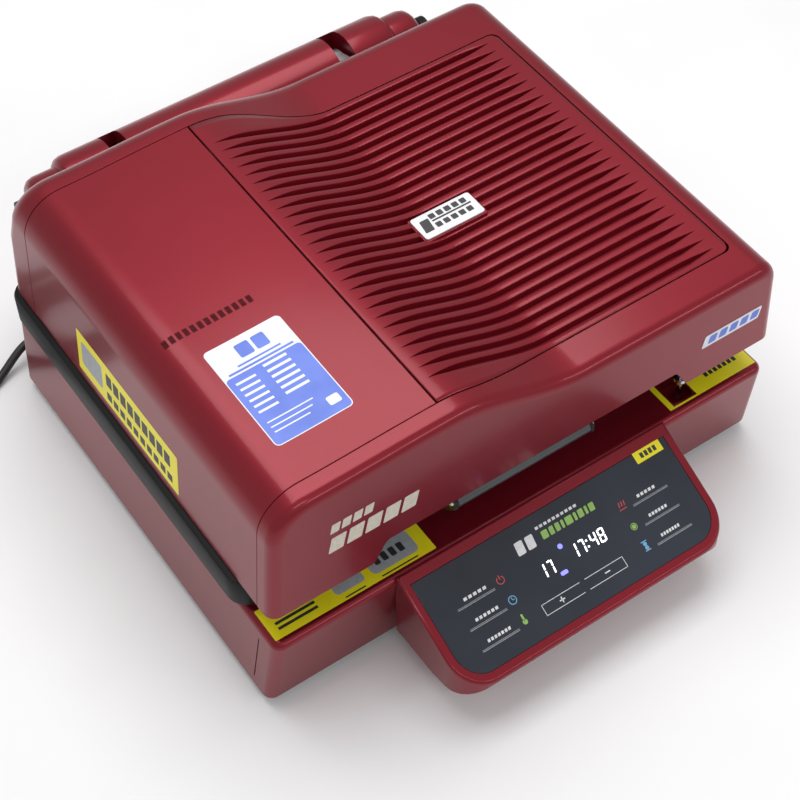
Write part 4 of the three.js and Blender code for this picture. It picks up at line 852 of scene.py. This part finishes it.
arm_slots = [
    box_mesh(left, right, lid_rear - 8 * MM, lid_rear + 8 * MM, lid_edge - 10 * MM, arm_slot_top)
    for left, right in ((-arm_slot_outer, -arm_slot_inner), (arm_slot_inner, arm_slot_outer))]
border = carved(skin(0, lid_wall), *covers_region(0), scoop(), *arm_slots)
lip_skin = skin(lid_wall + 0.3 * MM, lid_wall + 2.3 * MM, low=lid_edge + 10 * MM)
seam_lip = carved(lip_skin, *covers_region(-8 * MM))
seam_lip = carved(seam_lip, joined(*covers_region(4 * MM)), way="INTERSECT")
piece("lid_border", joined(border, seam_lip), wine, "lid", "wine_shell", "lid_shell", edge=0.5 * MM)
left_region = box_mesh(
    -far, split_x - panel_gap / 2, left_front + panel_gap / 2, left_rear - panel_gap / 2, region_foot,
    region_head)
piece("lid_smooth_cover", carved(skin(0, lid_wall), left_region, way="INTERSECT"), wine, "lid", "wine_shell",
      "lid_left_cover", edge=0.5 * MM)

# ---------------------------------------------------------------- ribbed cover
# The ribbed cover is moulded with 27 channels that run across it. Each starts in a point, reaches its
# full width on the slope and runs out in a point again before the right panel line.
rib_count = 27
rib_first, rib_last = right_front + 11 * MM, right_rear - 11 * MM
rib_pitch = (rib_last - rib_first) / (rib_count - 1)
channel_left, channel_right, channel_ease = -88 * MM, 241 * MM, 44 * MM
channel_half, channel_depth = 4.3 * MM, 6.5 * MM
cover_left, cover_right = split_x + panel_gap / 2, right_edge - panel_gap
coarse_from, coarse_to, fine_step, coarse_step = -40 * MM, 200 * MM, 2.5 * MM, 4.5 * MM
cover_wall = 2.4 * MM


def channel_size(x):
    """How full the channels are at a place across the cover, from 0 at their points to 1."""
    start = min(max((x - channel_left) / channel_ease, 0), 1)
    end = min(max((channel_right - x) / channel_ease, 0), 1)
    return min(math.sin(start * math.pi / 2), math.sin(end * math.pi / 2))


def ribbed_sheet():
    columns = [cover_left + k * 2 * MM for k in range(4)]
    x = columns[-1]
    while x < cover_right - 3 * MM:
        x += fine_step if x < coarse_from or x > coarse_to else coarse_step
        columns.append(min(x, cover_right))
    if columns[-1] < cover_right:
        columns.append(cover_right)
    profile = (-1.0, -0.84, -0.6, 0.6, 0.84, 1.0)
    fall = (0.0, 0.12, 1.0, 1.0, 0.12, 0.0)
    margin_rows = 4
    row_count = 2 * margin_rows + rib_count * len(profile)
    bm = bmesh.new()
    bmesh.ops.create_grid(bm, x_segments=len(columns) - 1, y_segments=row_count - 1, size=1)
    ranked = sorted(bm.verts, key=lambda v: (round(v.co.x, 5), v.co.y))
    for index, vert in enumerate(ranked):
        x, row = columns[index // row_count], index % row_count
        size = channel_size(x)
        width, depth = max(size, 0.03), channel_depth * min(1, 1.3 * size)
        corner = max(0.0, x - (cover_right - cover_corner))
        pull = cover_corner - math.sqrt(max(cover_corner ** 2 - corner ** 2, 0))
        front = bend(x, *fronts) + panel_gap + pull
        rear = bend(x, *rears) - panel_gap - pull
        if row < margin_rows:
            y, dip = front + (rib_first - channel_half - front) * row / margin_rows, 0
        elif row >= row_count - margin_rows:
            last = rib_last + channel_half
            y, dip = last + (rear - last) * (row - row_count + margin_rows + 1) / margin_rows, 0
        else:
            rib, place = divmod(row - margin_rows, len(profile))
            y = rib_first + rib * rib_pitch + profile[place] * channel_half * width
            dip = fall[place] * depth
        vert.co = (x, min(max(y, front), rear), top_height(x) - dip)
    return bm


cover_bm = ribbed_sheet()
bmesh.ops.recalc_face_normals(cover_bm, faces=cover_bm.faces)
ribbed = piece("lid_ribbed_panel", cover_bm, wine, "lid", "wine_shell", "lid_ribbed_cover", sharp=60)
thick = ribbed.modifiers.new("wall", "SOLIDIFY")
thick.thickness, thick.offset = cover_wall, -1
badge_low, badge_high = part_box("lid_badge")
boss = box_mesh(badge_low.x - 2 * MM, badge_high.x + 2 * MM, badge_low.y - 2 * MM, badge_high.y + 2 * MM,
                low_top - 7 * MM, badge_low.z - 0.1 * MM, corner=2 * MM, edge=0.8 * MM)
piece("badge_boss", boss, wine, "lid", "wine_shell")

# ---------------------------------------------------------------- marks on the lid
# The lid carries a white metal badge on the boss, a printed rating label, a heat-resistant vinyl
# sheet on the left wall and small front prints. Plain bars stand wherever words would be.
white_enamel = surface(
    "white_enamel", (0.70, 0.71, 0.72), (0.78, 0.78, 0.79), 0.02, 0.001, (0.22, 0.32), 0.00003, Metallic=0.2)
finished("lid_badge", white_enamel)
badge_plane = Matrix.Translation((0, 0, badge_high.z))
badge_marks = [bar(28, 38, -13, 3, slant=0.15, corner=1), bar(42, 87, -3.5, -1.5)]
badge_marks += [bar(42 + 9 * k, 48.5 + 9 * k, 0, 6.5, corner=1) for k in range(5)]
badge_marks += [bar(42 + 9 * k, 48.5 + 9 * k, -12.5, -6, corner=1) for k in range(5)]
printed("badge_bars", badge_marks, badge_plane, black_ink, "lid", "badge_white")


def draped(name, parts, material):
    """Thin printed shapes laid on the lid's curved top."""
    bm = joined(*parts)
    for x in range(-260, -120, 10):
        everything = bm.verts[:] + bm.edges[:] + bm.faces[:]
        bmesh.ops.bisect_plane(bm, geom=everything, dist=1e-7, plane_co=(x * MM, 0, 0), plane_no=(1, 0, 0))
    for vert in bm.verts:
        vert.co.z += top_height(vert.co.x)
    return piece(name, bm, material, "lid", "badge_white")


label_white = surface(
    "label_white", (0.72, 0.74, 0.80), (0.78, 0.80, 0.86), 0.02, 0.002, (0.35, 0.5), 0.00002)
label_blue = surface(
    "label_blue", (0.10, 0.17, 0.62), (0.13, 0.21, 0.70), 0.03, 0.002, (0.35, 0.5), 0.00002)
draped("rating_label", [bar(-233, -154, -166, -42, 0.02, 0.14, corner=5)], label_white)
draped("rating_label_field", [bar(-232, -155, -165, -80, 0.14, 0.20, corner=4)], label_blue)
label_lines = [bar(-196, -172, -86 - 7.4 * k, -83 - 7.4 * k, 0.2, 0.26) for k in range(6)]
label_lines += [bar(-226, -206, -90 - 7.4 * k, -87.4 - 7.4 * k, 0.2, 0.26) for k in range(6)]
label_lines += [bar(-226, -180, -140, -138.6, 0.2, 0.26), bar(-226, -184, -146, -144.6, 0.2, 0.26),
                bar(-226, -190, -152, -150.6, 0.2, 0.26), bar(-172, -160, -156, -146, 0.2, 0.26, corner=2)]
draped("rating_label_lines", label_lines, label_white)
label_heads = [bar(-206, -192, -66, -50, 0.14, 0.2, corner=2), bar(-189, -176, -66, -50, 0.14, 0.2, corner=2),
               bar(-214, -170, -73, -71, 0.14, 0.2), bar(-226, -160, -78, -75.6, 0.14, 0.2)]
draped("rating_label_heads", label_heads, label_blue)
# The dashes stand for engraved words. They are flat bars laid on the top, and their dark red is painted shade
# of the engraved grooves.
painted_engraving_shade = surface(
    "painted_engraving_shade", (0.055, 0.003, 0.005), (0.085, 0.005, 0.008), 0.004, 0.0007, (0.5, 0.7), 0,
    Specular_IOR_Level=0.1)
dashes = [bar(-255 + 7.3 * k, -250.2 + 7.3 * k, -16, -7, 0.0, 0.08) for k in range(13)]
draped("engraved_dash_shade", dashes, painted_engraving_shade)

face_plane = Matrix.Translation((0, lid_front, 0)) @ Matrix.Rotation(math.radians(90), 4, "X")
cream_ink = ink("cream_ink", (0.66, 0.60, 0.50))
front_marks = [bar(-224 + 11.5 * k, -215 + 11.5 * k, 245, 257, slant=0.22, corner=1) for k in range(4)]
front_marks += [bar(-227 + 19 * k, -211.5 + 19 * k, 218, 238, slant=0.22, corner=1.5) for k in range(5)]
printed("front_marks", front_marks, face_plane, cream_ink, "lid", "badge_white")
printed("front_badge", [bar(193, 263, 206, 222, 0.02, 0.5, slant=0.2, corner=2)], face_plane, label_white,
        "lid", "badge_white")
front_bars = [bar(200 + 13 * k, 209.5 + 13 * k, 209, 219.5, 0.5, 0.58, slant=0.2, corner=2) for k in range(5)]
printed("front_badge_bars", front_bars, face_plane, label_blue, "lid", "badge_white")

wall_up = Vector((lid_flare, 0, high_top - left_shoulder - lid_edge + lid_skirt)).normalized()
wall_along = Vector((0, -1, 0))
wall_out = wall_along.cross(wall_up)
wall_plane = Matrix.Translation((-wall_x, 0, high_top - left_shoulder)) @ Matrix(
    (wall_along, wall_up, wall_out)).transposed().to_4x4()
shoulder_height = (high_top - left_shoulder) / MM
foot, head = 175 - shoulder_height, 228.5 - shoulder_height
printed("wall_sticker", [bar(-116, 72, foot, head, corner=1.5)], wall_plane, yellow_vinyl, "lid",
        "badge_white")
printed("wall_sticker_panel", [bar(-108, -68, foot + 12, head - 10, 0.12, 0.18, corner=4)], wall_plane,
        grey_ink, "lid", "badge_white")
wall_bars = [
    bar(-60 + 13.5 * k, -49.5 + 13.5 * k, head - 27, head - 11, 0.12, 0.18, corner=1) for k in range(9)]
wall_bars += [
    bar(-60 + 12.5 * k, -51 + 12.5 * k, foot + 7, foot + 17, 0.12, 0.18, corner=1) for k in range(10)]
printed("wall_sticker_bars", wall_bars, wall_plane, black_ink, "lid", "badge_white")

# ---------------------------------------------------------------- inside the lid
# A black tray closes the lid round a folded steel oven wrapped in wool blanket. Four quartz heater
# tubes glow behind a slotted guard, and a shaft-driven fan stirs the air.
wool = surface("wool_blanket", (0.50, 0.47, 0.40), (0.70, 0.67, 0.60), 0.02, 0.0015, (0.85, 0.95), 0.0008)
quartz = surface(
    "quartz_tube", (0.72, 0.71, 0.68), (0.82, 0.81, 0.78), 0.02, 0.002, (0.12, 0.25), 0.00002,
    Transmission_Weight=0.35)
for node, material in {
    "lid_bottom_frame": black_enamel, "heating_chamber": sheet_steel, "lid_insulation": wool,
    "heater_tube_1": quartz, "heater_tube_2": quartz, "heater_tube_3": quartz, "heater_tube_4": quartz,
    "heater_guard": sheet_steel, "temperature_probe": ground_pin, "lid_fan_rotor": satin_aluminium,
    "lid_fan_motor": black_plastic, "lid_locating_pin": ground_pin,
}.items():
    finished(node, material)
